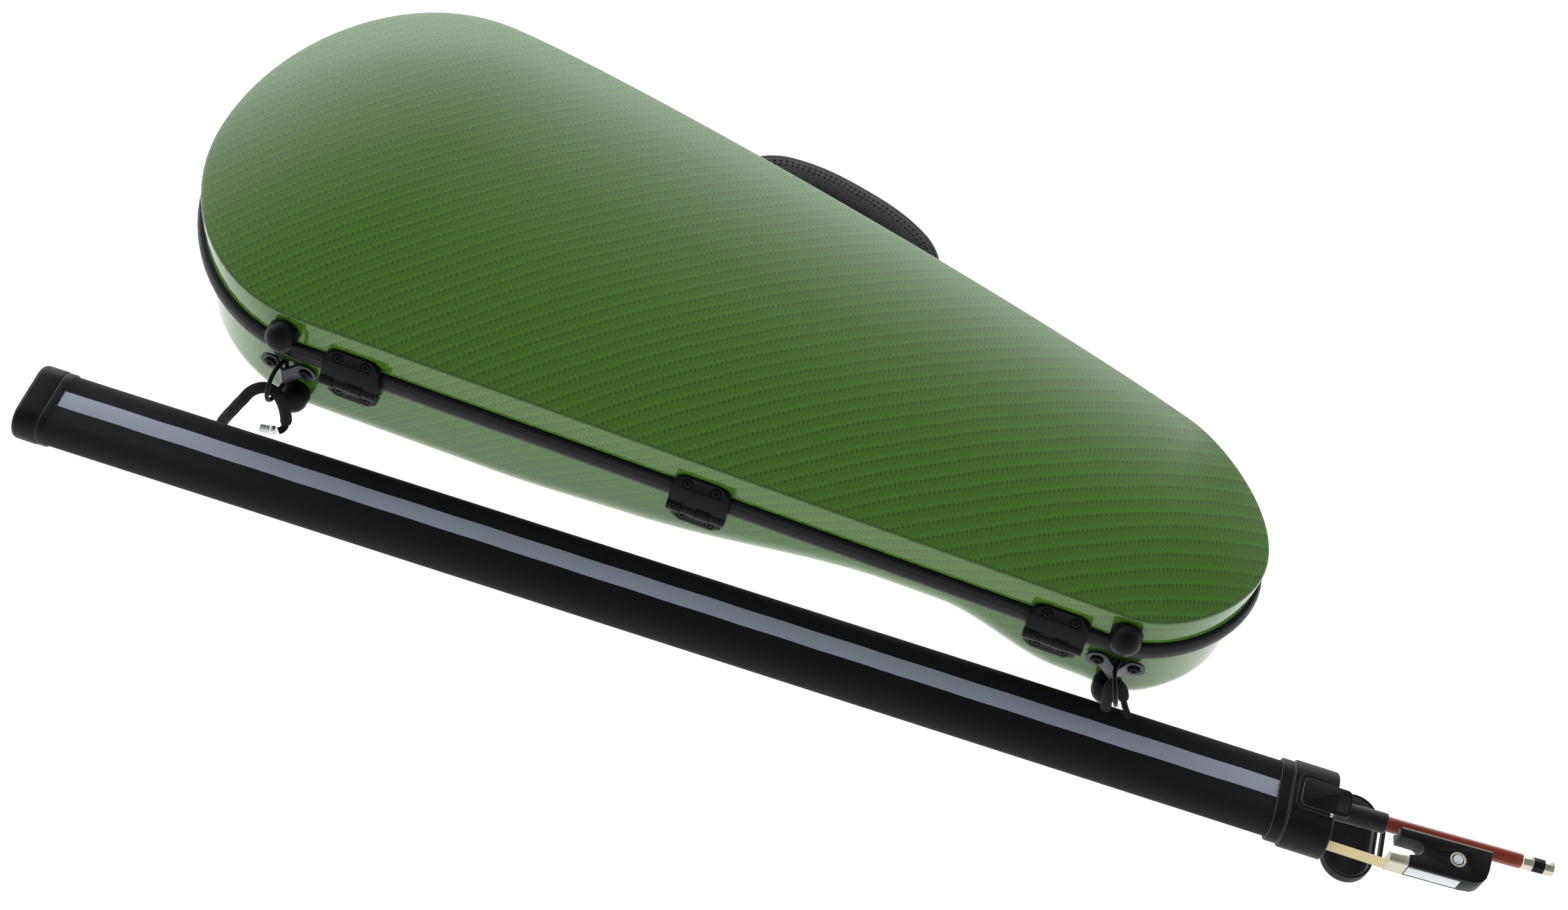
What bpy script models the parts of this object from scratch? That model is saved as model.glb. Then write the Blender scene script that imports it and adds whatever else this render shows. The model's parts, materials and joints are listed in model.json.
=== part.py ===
"""Compact shaped violin case with an outside bow tube, lying on its back with the lid shut.

All dimensions below are in millimetres in the case's own drawing frame:
x along the hinge line (0 at the middle hinge), y from the hinge-side wall
towards the handle side, z up from the surface that the case lies on.
place() turns them into metres and centres the model on the origin.
"""
import math

import bmesh
import bpy
from mathutils import Matrix, Vector

# ---------------------------------------------------------------- dimensions
CENTRE_X, CENTRE_Y = 60.9, 95.46    # middle of the whole object in plan

BASE_RIM = 74.0                     # top edge of the lower shell
SEAL_LOW, SEAL_TOP = 64.2, 78.7     # black profile round the seam
LID_RIM = 79.0                      # lower edge of the lid
LID_EDGE = 100.0                    # height of the lid's rounded edge
LID_FILLET = 5.5
LID_CROWN = (15.0, 9.0)             # crown over the wide and over the narrow end
WALL = 3.0                          # composite shell thickness
DRAFT = 1.5                         # how far the side wall leans in, top to bottom
WAIST_RISE = 27.0                   # how far the bottom lifts under the neck

HINGE_X = (-203.1, 0.0, 203.7)
HINGE_Y, HINGE_Z = -8.0, 67.5       # common barrel axis, parallel to x
SCREW_PITCH = 16.0

BRACKET_X = (-243.1, 240.6)
BRACKET_Z = 53.8
BUMPER_X = (-243.5, 238.5)

LATCH_X = (-150.0, 172.0)
HANDLE_A = (-92.0, 72.0)            # ends of the handle along the far wall
HANDLE_Z = 50.0

TUBE_END = (-377.6, -54.1, 12.1)    # closed end of the bow tube
TUBE_MOUTH = (377.2, -25.8, 22.0)   # open end of the bow tube
TUBE_FLAT = 23.5                    # flat part of the oval section
TUBE_R = 10.75
TUBE_WALL = 1.4

BOW_OUT = 123.4                     # how far the bow stands out of the mouth
BOW_LENGTH = 745.0

AROUND_L, AROUND_R, ALONG = 11, 9, 21   # drawing points round and along the case


# ---------------------------------------------------------------- helpers
for item in list(bpy.data.objects):
    bpy.data.objects.remove(item, do_unlink=True)

collection = bpy.context.scene.collection


def place(p):
    return Vector(((p[0] - CENTRE_X) / 1000, (p[1] - CENTRE_Y) / 1000, p[2] / 1000))


def material(name, colour, roughness=0.5, metallic=0.0):
    mat = bpy.data.materials.get(name)
    if mat is None:
        mat = bpy.data.materials.new(name)
        mat.use_nodes = True
        bsdf = mat.node_tree.nodes["Principled BSDF"]
        bsdf.inputs["Base Color"].default_value = (*colour, 1)
        bsdf.inputs["Roughness"].default_value = roughness
        bsdf.inputs["Metallic"].default_value = metallic
        mat.diffuse_color = (*colour, 1)
    return mat


GREEN = ("green_composite", (0.07, 0.17, 0.04), 0.1, 0.0)
RUBBER = ("black_rubber", (0.03, 0.03, 0.035), 0.5, 0.0)
BLACK_METAL = ("black_metal", (0.02, 0.02, 0.022), 0.35, 0.6)
GREY_METAL = ("grey_metal", (0.16, 0.17, 0.19), 0.35, 0.8)
PLASTIC = ("black_plastic", (0.025, 0.025, 0.03), 0.45, 0.0)
NYLON = ("black_nylon", (0.012, 0.012, 0.014), 0.85, 0.0)
PLUSH = ("plush_lining", (0.05, 0.05, 0.06), 0.9, 0.0)
HIDE = ("black_leather", (0.02, 0.02, 0.025), 0.55, 0.0)
WOOD = ("bow_wood", (0.22, 0.05, 0.02), 0.3, 0.0)
EBONY = ("ebony", (0.015, 0.013, 0.012), 0.3, 0.0)
SILVER = ("silver", (0.75, 0.74, 0.7), 0.25, 1.0)
HAIR = ("bow_hair", (0.8, 0.7, 0.45), 0.6, 0.0)
ZINC = ("zinc", (0.6, 0.62, 0.65), 0.3, 1.0)
TAPE = ("grey_tape", (0.24, 0.26, 0.31), 0.6, 0.0)


def add(name, verts, faces, mat, parent=None, smooth=True, helper=False):
    """One object from points in the drawing frame; faces may have any number of corners."""
    mesh = bpy.data.meshes.new(name)
    origin = parent.matrix_world.translation if parent else Vector((0, 0, 0))
    mesh.from_pydata([tuple(place(v) - origin) for v in verts], [], [tuple(f) for f in faces])
    work = bmesh.new()
    work.from_mesh(mesh)
    bmesh.ops.remove_doubles(work, verts=work.verts, dist=1e-7)
    bmesh.ops.recalc_face_normals(work, faces=work.faces)
    if work.calc_volume(signed=True) < 0:
        bmesh.ops.reverse_faces(work, faces=work.faces)
    work.to_mesh(mesh)
    work.free()
    if smooth:
        mesh.shade_smooth()
        mesh.set_sharp_from_angle(angle=math.radians(35))
    obj = bpy.data.objects.new(name, mesh)
    collection.objects.link(obj)
    mesh.materials.append(material(*mat))
    if parent:
        obj.parent = parent
    if helper:
        obj.hide_render = True
        obj.display_type = "WIRE"
    return obj


def pivot(name, point):
    """An empty on a joint's axis, which carries the pieces that turn there."""
    empty = bpy.data.objects.new(name, None)
    empty.empty_display_size = 0.01
    empty.location = place(point)
    collection.objects.link(empty)
    bpy.context.view_layer.update()
    return empty


def combine(obj, operation, *others):
    for other in others:
        other.hide_render = True
        other.display_type = "WIRE"
        mod = obj.modifiers.new(operation.title(), "BOOLEAN")
        mod.operation = operation
        mod.object = other
    return obj


class Frame:
    """A local drawing frame: a along, b outwards, c up."""

    def __init__(self, origin, a, b, c):
        self.o, self.a, self.b, self.c = Vector(origin), Vector(a), Vector(b), Vector(c)

    def __call__(self, a, b, c):
        return self.o + self.a * a + self.b * b + self.c * c


WORLD = Frame((0, 0, 0), (1, 0, 0), (0, 1, 0), (0, 0, 1))


def prism(name, frame, outline, low, high, mat, axis="c", **more):
    """An outline extruded along one of the frame's axes. Outline pairs are the two other axes in order."""
    def point(pair, t):
        if axis == "c":
            return frame(pair[0], pair[1], t)
        if axis == "b":
            return frame(pair[0], t, pair[1])
        return frame(t, pair[0], pair[1])
    n = len(outline)
    verts = [point(q, low) for q in outline] + [point(q, high) for q in outline]
    faces = [list(range(n))[::-1], list(range(n, 2 * n))]
    faces += [[i, (i + 1) % n, n + (i + 1) % n, n + i] for i in range(n)]
    return add(name, verts, faces, mat, **more)


def circle(radius, count, centre=(0, 0), start=0.0):
    return [(centre[0] + radius * math.cos(start + 2 * math.pi * i / count),
             centre[1] + radius * math.sin(start + 2 * math.pi * i / count)) for i in range(count)]


def rod(name, frame, centre, radius, low, high, mat, axis="a", count=12, **more):
    return prism(name, frame, circle(radius, count, centre), low, high, mat, axis=axis, **more)


def rounded(w0, w1, h0, h1, r, steps=3):
    """A rectangle with rounded corners."""
    out = []
    for cx, cy, start in ((w1 - r, h1 - r, 0), (w0 + r, h1 - r, 90), (w0 + r, h0 + r, 180), (w1 - r, h0 + r, 270)):
        for i in range(steps + 1):
            t = math.radians(start + 90 * i / steps)
            out.append((cx + r * math.cos(t), cy + r * math.sin(t)))
    return out


def lathe(name, frame, profile, mat, axis="b", count=16, centre=(0, 0), **more):
    """A solid turned about a line parallel to one axis; profile is (distance along, radius), its ends on the axis."""
    verts, faces, rings = [], [], []
    for t, r in profile:
        ring = []
        for i in range(1 if r == 0 else count):
            ang = 2 * math.pi * i / count
            u, v = centre[0] + r * math.cos(ang), centre[1] + r * math.sin(ang)
            verts.append(frame(u, t, v) if axis == "b" else frame(t, u, v) if axis == "a" else frame(u, v, t))
            ring.append(len(verts) - 1)
        rings.append(ring)
    for p, q in zip(rings, rings[1:]):
        for i in range(count):
            j = (i + 1) % count
            quad = [p[i % len(p)], p[j % len(p)], q[j % len(q)], q[i % len(q)]]
            clean = [v for k, v in enumerate(quad) if v != quad[k - 1]]
            if len(clean) > 2:
                faces.append(clean)
    return add(name, verts, faces, mat, **more)


def smooth_route(points, count):
    """Catmull-Rom curve through the route's own points."""
    pts = [Vector(p) for p in points]
    pts = [pts[0] * 2 - pts[1]] + pts + [pts[-1] * 2 - pts[-2]]
    out = []
    spans = len(pts) - 3
    for i in range(count + 1):
        t = i / count * spans
        k = min(int(t), spans - 1)
        t -= k
        p0, p1, p2, p3 = pts[k:k + 4]
        out.append(0.5 * ((2 * p1) + (p2 - p0) * t + (2 * p0 - 5 * p1 + 4 * p2 - p3) * t * t
                          + (3 * p1 - p0 - 3 * p2 + p3) * t ** 3))
    return out


def wire(name, points, radius, mat, cyclic=False, resolution=2, parent=None):
    """A curve with a round bevel, for rings and cords."""
    curve = bpy.data.curves.new(name, "CURVE")
    curve.dimensions = "3D"
    curve.bevel_depth = radius / 1000
    curve.bevel_resolution = resolution
    curve.use_fill_caps = not cyclic
    spline = curve.splines.new("POLY")
    spline.points.add(len(points) - 1)
    origin = parent.matrix_world.translation if parent else Vector((0, 0, 0))
    for p, q in zip(spline.points, points):
        p.co = (*(place(q) - origin), 1)
    spline.use_cyclic_u = cyclic
    obj = bpy.data.objects.new(name, curve)
    collection.objects.link(obj)
    curve.materials.append(material(*mat))
    if parent:
        obj.parent = parent
    return obj


# ---------------------------------------------------------------- case outline
def bezier(p0, p1, p2, p3, count=40):
    out = []
    for i in range(count):
        t = i / count
        out.append(Vector(p0) * (1 - t) ** 3 + Vector(p1) * 3 * (1 - t) ** 2 * t
                   + Vector(p2) * 3 * (1 - t) * t * t + Vector(p3) * t ** 3)
    return out


def case_outline():
    """Plan of the case, anticlockwise: straight hinge side, small end, long slanting side, wide end."""
    near_l, near_r = (-237, 0), (235, 0)
    right, far_r = (299.5, 63), (240, 139.5)
    top, left = (-222, 252), (-334.5, 111)
    slope = Vector((-1, 0.37)).normalized()
    pts = bezier(near_l, (-80, 0), (80, 0), near_r)
    pts += bezier(near_r, (265, 0), (299.5, 33), right)
    pts += bezier(right, (299.5, 99), Vector(far_r) - slope * 20, far_r)
    pts += bezier(far_r, Vector(far_r) + slope * 140, (-172, 252), top)
    pts += bezier(top, (-283, 252), (-334.5, 187), left)
    pts += bezier(left, (-334.5, 50), (-288, 0), near_l)
    return pts


OUTLINE = case_outline()
SPINE_L, SPINE_R = Vector((-212.0, 128.0)), Vector((236.0, 67.0))


def hit(start, direction):
    """Where a ray from inside leaves the outline, and the inward normal there."""
    best = None
    n = len(OUTLINE)
    for i in range(n):
        a, b = OUTLINE[i], OUTLINE[(i + 1) % n]
        e = b - a
        det = direction.x * -e.y + e.x * direction.y
        if abs(det) < 1e-12:
            continue
        w = a - start
        t = (w.x * -e.y + e.x * w.y) / det
        s = (direction.x * w.y - direction.y * w.x) / det
        if t > 0 and -1e-9 <= s < 1 and (best is None or t < best[0]):
            best = (t, i, s)
    t, i, s = best
    def normal(k):
        d = OUTLINE[(k + 1) % n] - OUTLINE[k - 1]
        return Vector((-d.y, d.x)).normalized()
    inward = (normal(i) * (1 - s) + normal((i + 1) % n) * s).normalized()
    return start + direction * t, inward


def build_stations():
    """Rays from the spine to the outline. Each is (outline point, inward normal, spine index)."""
    along = (SPINE_R - SPINE_L).normalized()
    across = Vector((along.y, -along.x))            # towards the hinge side
    out = []
    for i in range(ALONG + 1):
        s = SPINE_L.lerp(SPINE_R, i / ALONG)
        out.append((*hit(s, across), i))
    for i in range(1, AROUND_R):
        t = math.pi * i / AROUND_R
        out.append((*hit(SPINE_R, across * math.cos(t) + along * math.sin(t)), ALONG))
    for i in range(ALONG, -1, -1):
        s = SPINE_L.lerp(SPINE_R, i / ALONG)
        out.append((*hit(s, -across), i))
    for i in range(1, AROUND_L):
        t = math.pi * i / AROUND_L
        out.append((*hit(SPINE_L, -across * math.cos(t) - along * math.sin(t)), 0))
    return out


STATIONS = build_stations()
SPINE = [SPINE_L.lerp(SPINE_R, i / ALONG) for i in range(ALONG + 1)]


def ramp(t):
    t = min(max(t, 0.0), 1.0)
    return t * t * (3 - 2 * t)


def bottom(x):
    """Height of the bottom: flat under the body and the scroll, lifted under the neck."""
    return WAIST_RISE * ramp((x + 40) / 150) * (1 - ramp((x - 140) / 75))


def corner(x):
    """Radius between the side wall and the bottom."""
    return 28 + 10 * ramp((x + 120) / 110) * (1 - ramp((x - 225) / 37))


def draft(x):
    return DRAFT * min(max((62 - corner(x) - bottom(x)) / 24, 0), 1)


def crown(x):
    t = (x - SPINE_L.x) / (SPINE_R.x - SPINE_L.x)
    return LID_CROWN[0] + (LID_CROWN[1] - LID_CROWN[0]) * min(max(t, 0), 1)


def ring_at(depth, height):
    """Points at an inward distance from the outline; depth and height may depend on the point."""
    out = []
    for point, inward, _ in STATIONS:
        d = depth(point.x) if callable(depth) else depth
        q = point + inward * d
        z = height(q.x) if callable(height) else height
        out.append((q.x, q.y, z))
    return out


def ring_towards_spine(base, share, height):
    """Points part of the way from a ring to the spine; height takes (x, share)."""
    out = []
    for (x, y, z), (_, _, k) in zip(base, STATIONS):
        q = Vector((x, y)).lerp(SPINE[k], share)
        out.append((q.x, q.y, height(q.x, share)))
    return out


def skin(rings, spine_height):
    """Vertices and faces of stacked rings closed over the spine."""
    n = len(STATIONS)
    verts = [p for ring in rings for p in ring]
    faces = []
    for r in range(len(rings) - 1):
        for i in range(n):
            j = (i + 1) % n
            faces.append([r * n + i, r * n + j, (r + 1) * n + j, (r + 1) * n + i])
    first = len(verts)
    verts += [(p.x, p.y, spine_height(p.x)) for p in SPINE]
    last = (len(rings) - 1) * n
    for i in range(n):
        j = (i + 1) % n
        a, b = first + STATIONS[i][2], first + STATIONS[j][2]
        faces.append([last + i, last + j, b, a] if a != b else [last + i, last + j, a])
    return verts, faces


def hollow(name, outer, outer_spine, inner, inner_spine, mat, **more):
    """A closed solid between two skins that meet at their first rings."""
    va, fa = skin(outer, outer_spine)
    vb, fb = skin(inner, inner_spine)
    n = len(STATIONS)
    off = len(va)
    faces = fa + [[off + v for v in face][::-1] for face in fb]
    faces += [[(i + 1) % n, i, off + i, off + (i + 1) % n] for i in range(n)]
    return add(name, va + vb, faces, mat, **more)


def band(name, profile, mat, **more):
    """A strip that runs round the outline; profile pairs are (inward distance, height)."""
    n, m = len(STATIONS), len(profile)
    verts = []
    for point, inward, _ in STATIONS:
        for d, z in profile:
            q = point + inward * d
            verts.append((q.x, q.y, z))
    faces = []
    for i in range(n):
        j = (i + 1) % n
        for k in range(m):
            l = (k + 1) % m
            faces.append([i * m + k, j * m + k, j * m + l, i * m + l])
    return add(name, verts, faces, mat, **more)


# ---------------------------------------------------------------- lower shell
def lower_rings(gap, top, steps):
    """Rings of the hull at a distance inside its outer face, from the rim down to the flat bottom."""
    rings = [ring_at(gap, top)]
    for i in range(steps + 1):
        t = math.pi / 2 * i / steps
        rings.append(ring_at(
            lambda x, t=t: gap + draft(x) + (corner(x) - gap) * (1 - math.cos(t)),
            lambda x, t=t: bottom(x) + gap + (corner(x) - gap) * (1 - math.sin(t))))
    rings.append(ring_towards_spine(rings[-1], 0.5, lambda x, s: bottom(x) + gap))
    return rings


lower_shell = hollow(
    "lower_shell",
    lower_rings(0.0, BASE_RIM, 4), lambda x: bottom(x),
    lower_rings(WALL, BASE_RIM, 3), lambda x: bottom(x) + WALL,
    GREEN)

rim_seal = band("rim_seal", [
    (-0.3, SEAL_LOW), (-2.4, 65.2), (-3.8, 69.0), (-3.8, 73.9), (-2.4, 77.7), (-0.6, SEAL_TOP),
    (5.4, SEAL_TOP), (5.4, 68.0), (3.3, 68.0), (3.3, BASE_RIM + 0.3), (-0.3, BASE_RIM + 0.3)], RUBBER)

# foam body with a shaped recess, covered in plush
RECESS_RIM = 67.5
lining_out = lower_rings(WALL + 1.3, RECESS_RIM - 1.5, 3)


def recess_floor(x):
    return bottom(x) + 11


lining_in = [ring_at(WALL + 1.9, RECESS_RIM), ring_at(17, RECESS_RIM),
             ring_at(22, lambda x: RECESS_RIM - 6),
             ring_at(lambda x: 26, lambda x: recess_floor(x) + 8)]
lining_in.append(ring_at(34, lambda x: recess_floor(x)))
lining_in.append(ring_towards_spine(lining_in[-1], 0.5, lambda x, s: recess_floor(x)))
lower_lining = hollow("lower_lining", lining_out, lambda x: bottom(x) + WALL + 1.3,
                      lining_in, lambda x: recess_floor(x), PLUSH)

# foam saddle under the violin's neck, and the strap that holds it down
CRADLE_X = (92.0, 118.0)
cradle_y = 83.0
floor_here = recess_floor(118) + 0.4
saddle = [(cradle_y - 34, floor_here), (cradle_y - 34, 62), (cradle_y - 19, 62)]
saddle += [(cradle_y - 17 * math.cos(math.pi * i / 8), 61 - 19 * math.sin(math.pi * i / 8)) for i in range(9)]
saddle += [(cradle_y + 19, 62), (cradle_y + 34, 62), (cradle_y + 34, floor_here)]
neck_cradle = prism("neck_cradle", WORLD, saddle, CRADLE_X[0], CRADLE_X[1], PLUSH, axis="a")
strap_top = []
for i in range(13):
    t = math.pi * i / 12
    strap_top.append((cradle_y - 32 * math.cos(t), 64.2 + 7 * math.sin(t)))
strap = strap_top + [(y, z - 1.6) for y, z in strap_top[::-1]]
neck_strap = prism("neck_strap", WORLD, strap, CRADLE_X[0] + 3, CRADLE_X[1] - 3, NYLON, axis="a")

# ---------------------------------------------------------------- lid
lid_pivot = pivot("lid_pivot", (0, HINGE_Y, HINGE_Z))


def lid_rings(gap, steps, shares):
    rings = [ring_at(gap, LID_RIM)]
    radius = LID_FILLET - gap * 0.8
    for i in range(steps + 1):
        t = math.pi / 2 * i / steps
        rings.append(ring_at(gap + radius * (1 - math.cos(t)),
                             LID_EDGE - gap - radius * (1 - math.sin(t))))
    base = rings[-1]
    for s in shares:
        rings.append(ring_towards_spine(
            base, s, lambda x, share: LID_EDGE - gap + crown(x) * (1 - (1 - share) ** 2.2)))
    return rings


lid_shell = hollow(
    "lid_shell",
    lid_rings(0.0, 3, (0.22, 0.55)), lambda x: LID_EDGE + crown(x),
    lid_rings(WALL, 2, (0.4,)), lambda x: LID_EDGE - WALL + crown(x),
    GREEN, parent=lid_pivot)

lid_rim_trim = band("lid_rim_trim", [
    (WALL + 0.3, LID_RIM + 0.3), (WALL + 2.0, LID_RIM + 0.3), (WALL + 2.0, 90.0), (WALL + 0.3, 90.0)],
    RUBBER, parent=lid_pivot)

# padded lid lining: follows the inside of the lid 0.4 mm below it
pad_out = [ring_at(WALL + 2.4, 84.0), ring_at(WALL + 2.8, 93.0), ring_at(WALL + 6.5, LID_EDGE - WALL - 0.9)]
pad_out.append(ring_towards_spine(
    pad_out[-1], 0.4, lambda x, s: LID_EDGE - WALL - 0.9 + crown(x) * (1 - (1 - s) ** 2.2)))
pad_in = [ring_at(WALL + 5.0, 83.4), ring_at(WALL + 11, LID_EDGE - WALL - 9)]
pad_in.append(ring_towards_spine(
    pad_in[-1], 0.4, lambda x, s: LID_EDGE - WALL - 9 + crown(x) * (1 - (1 - s) ** 2.2)))
lid_lining = hollow("lid_lining", pad_out, lambda x: LID_EDGE - WALL - 0.9 + crown(x),
                    pad_in, lambda x: LID_EDGE - WALL - 9 + crown(x), PLUSH, parent=lid_pivot)

# ---------------------------------------------------------------- hinges
LEAF_HALF, COVER_HALF = 14.5, 16.5
KNUCKLE_R, PIN_R = 3.4, 1.2
BASE_KNUCKLES = ((-COVER_HALF, -8.5), (0.2, 8.0))


def screw_head(frame, a, c, face, helper_name):
    """A domed head standing on a leaf's front face, reaching a little into it."""
    return lathe(helper_name, frame,
                 [(face + 0.6, 0), (face + 0.6, 3.1), (face - 0.7, 3.1), (face - 1.3, 2.0), (face - 1.3, 0)],
                 BLACK_METAL, axis="b", count=10, centre=(a, c), helper=True)


for label, hx in zip(("left", "middle", "right"), HINGE_X):
    here = Frame((hx, 0, 0), (1, 0, 0), (0, 1, 0), (0, 0, 1))
    # upper leaf on the lid: screw plate, cover that steps out over the seal, two knuckles
    plate = [(-LEAF_HALF, 82.0), (LEAF_HALF, 82.0), (LEAF_HALF, 88.5), (LEAF_HALF - 5, 93.3),
             (-LEAF_HALF + 5, 93.3), (-LEAF_HALF, 88.5)]
    upper = prism("hinge_leaf_lid_" + label, here, plate, -6.0, -0.4, BLACK_METAL, axis="b", parent=lid_pivot, smooth=False)
    cover = prism("cover_" + label, here, [(-4.6, 84.5), (-4.6, 72.2), (-5.2, 69.5), (-7.6, 69.0), (-9.8, 71.0), (-9.8, 80.5), (-7.0, 84.5)],
                  -COVER_HALF, COVER_HALF, BLACK_METAL, axis="a", helper=True)
    parts = [cover]
    for k, (lo, hi) in enumerate(((-8.2, -0.1), (8.3, COVER_HALF))):
        parts.append(rod(f"knuckle_{label}_{k}", here, (HINGE_Y, HINGE_Z), KNUCKLE_R, lo, hi, BLACK_METAL, count=14, helper=True))
    parts += [screw_head(here, s * SCREW_PITCH / 2, 88.0, -6.0, f"head_{label}_{s}") for s in (-1, 1)]
    combine(upper, "UNION", *parts)
    bore = rod("bore_lid_" + label, here, (HINGE_Y, HINGE_Z), PIN_R + 0.3, -COVER_HALF - 2, COVER_HALF + 2, BLACK_METAL, count=12, helper=True)
    room = [rod(f"room_{label}_{k}", here, (HINGE_Y, HINGE_Z), KNUCKLE_R + 0.45, lo - 0.25, hi + 0.25, BLACK_METAL, count=16, helper=True)
            for k, (lo, hi) in enumerate(BASE_KNUCKLES)]
    combine(upper, "DIFFERENCE", bore, *room)
    # lower leaf on the shell with the two other knuckles
    plate = [(-LEAF_HALF, 62.0), (-LEAF_HALF, 54.0), (-LEAF_HALF + 5, 50.0), (LEAF_HALF - 5, 50.0),
             (LEAF_HALF, 54.0), (LEAF_HALF, 62.0)]
    lower = prism("hinge_leaf_base_" + label, here, plate, -6.0, -0.4, BLACK_METAL, axis="b", smooth=False)
    parts = []
    for k, (lo, hi) in enumerate(BASE_KNUCKLES):
        parts.append(prism(f"arm_{label}_{k}", here, [(-4.9, 60.5), (-6.0, 60.5), (-10.6, 66.0), (-9.0, 67.5), (-5.2, 66.5)], lo, hi, BLACK_METAL, axis="a", helper=True))
        parts.append(rod(f"knuckle_b_{label}_{k}", here, (HINGE_Y, HINGE_Z), KNUCKLE_R, lo, hi, BLACK_METAL, count=14, helper=True))
    parts += [screw_head(here, s * SCREW_PITCH / 2, 55.0, -6.0, f"head_b_{label}_{s}") for s in (-1, 1)]
    combine(lower, "UNION", *parts)
    combine(lower, "DIFFERENCE", rod("bore_base_" + label, here, (HINGE_Y, HINGE_Z), PIN_R + 0.3, -COVER_HALF - 2, COVER_HALF + 2, BLACK_METAL, count=12, helper=True))
    rod("hinge_pin_" + label, here, (HINGE_Y, HINGE_Z), PIN_R, -COVER_HALF + 0.4, COVER_HALF - 0.6, GREY_METAL, count=12)

# ---------------------------------------------------------------- rubber feet
def bumper(name, x, z, parent=None, base=-0.4, radius=8.8):
    here = Frame((x, 0, z), (1, 0, 0), (0, 1, 0), (0, 0, 1))
    profile = [(base, 0), (base, radius - 0.6), (-6.0, radius)]
    profile += [(-6.0 - 8.5 * math.sin(math.pi / 2 * i / 4), radius * math.cos(math.pi / 2 * i / 4)) for i in range(1, 4)]
    profile += [(-14.5, 0)]
    return lathe(name, here, profile, RUBBER, axis="b", count=20, parent=parent)


bumper("lid_foot_left", BUMPER_X[0], 87.6, parent=lid_pivot)
bumper("lid_foot_right", BUMPER_X[1], 87.6, parent=lid_pivot)
bumper("base_foot_left", -239.5, 32.5, base=0.9)
bumper("base_foot_right", 241.5, 35.2, base=0.9, radius=8.2)

# ---------------------------------------------------------------- strap brackets and D-rings
RING_R = 1.25


def d_shape(count=26):
    """Centre line of a D-ring: (outwards from the wall, up), a straight bar and a round bow."""
    out = []
    for i in range(count):
        t = 2 * math.pi * i / count
        c = math.cos(t)
        out.append((13.9 + 11.2 * (c if c > 0 else -abs(c) ** 0.4), 10.2 * math.sin(t)))
    return out


for label, bx, back, turn_deg, lean, swing, aside in (
        ("left", BRACKET_X[0], 0.0, 0.0, 0.0, 0.0, -1.4), ("right", BRACKET_X[1], 0.9, 5.0, -0.3, 0.25, 0.0)):
    ct, st = math.cos(math.radians(turn_deg)), math.sin(math.radians(turn_deg))
    here = Frame((bx, back, BRACKET_Z), (ct, st, 0), (-st, ct, 0), (0, 0, 1))
    # bent strip: ear, V that stands out from the wall, ear
    t = 1.4
    outer = [(-16.6, -0.4 - t), (-7.0, -0.4 - t), (-0.8, -8.7), (0.8, -8.7), (7.0, -0.4 - t), (16.6, -0.4 - t)]
    inner = [(16.6, -0.4), (6.4, -0.4), (0.0, -7.0), (-6.4, -0.4), (-16.6, -0.4)]
    strip = prism("strap_bracket_" + label, here, outer + inner, -6.2, 6.2, GREY_METAL, smooth=False)
    # the ears are rounded by keeping what lies inside two half-round ends
    ends = []
    for i in range(9):
        ang = -math.pi / 2 + math.pi * i / 8
        ends.append((10.4 + 6.2 * math.cos(ang), 6.2 * math.sin(ang)))
    keep = ends + [(-x, z) for x, z in ends[::-1]]
    keeper = prism("keep_" + label, here, keep, -12, 3, GREY_METAL, axis="b", helper=True)
    combine(strip, "INTERSECT", keeper)
    for s in (-1, 1):
        lathe(f"bracket_screw_{label}_{'a' if s < 0 else 'b'}", here,
              [(-2.1, 0), (-2.1, 3.4), (-3.1, 3.1), (-3.8, 1.8), (-3.8, 0)],
              BLACK_METAL, axis="b", count=12, centre=(s * 10.4, 0))
    # D-ring: its straight bar stands inside the V, its bow points outwards
    ring_pivot = pivot("d_ring_pivot_" + label, (bx, -3.0, BRACKET_Z))
    pts = []
    for o, h in d_shape():
        far = min(max((o - 5) / 8, 0), 1)
        pts.append((bx + far * (lean * h + aside) + swing * (o - 3.0), back - o, BRACKET_Z + 1.6 + h))
    wire("d_ring_" + label, pts, RING_R, BLACK_METAL, cyclic=True, parent=ring_pivot)

# ---------------------------------------------------------------- far side: latches and handle
def wall_frame(x):
    """Frame on the handle-side wall at this x: a along the wall, b outwards, c up."""
    point, inward = hit(Vector((x, 60.0)), Vector((0.0, 1.0)))
    along = Vector((-inward.y, inward.x))
    if along.x < 0:
        along = -along
    return Frame((point.x, point.y, 0), (along.x, along.y, 0), (-inward.x, -inward.y, 0), (0, 0, 1))


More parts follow.
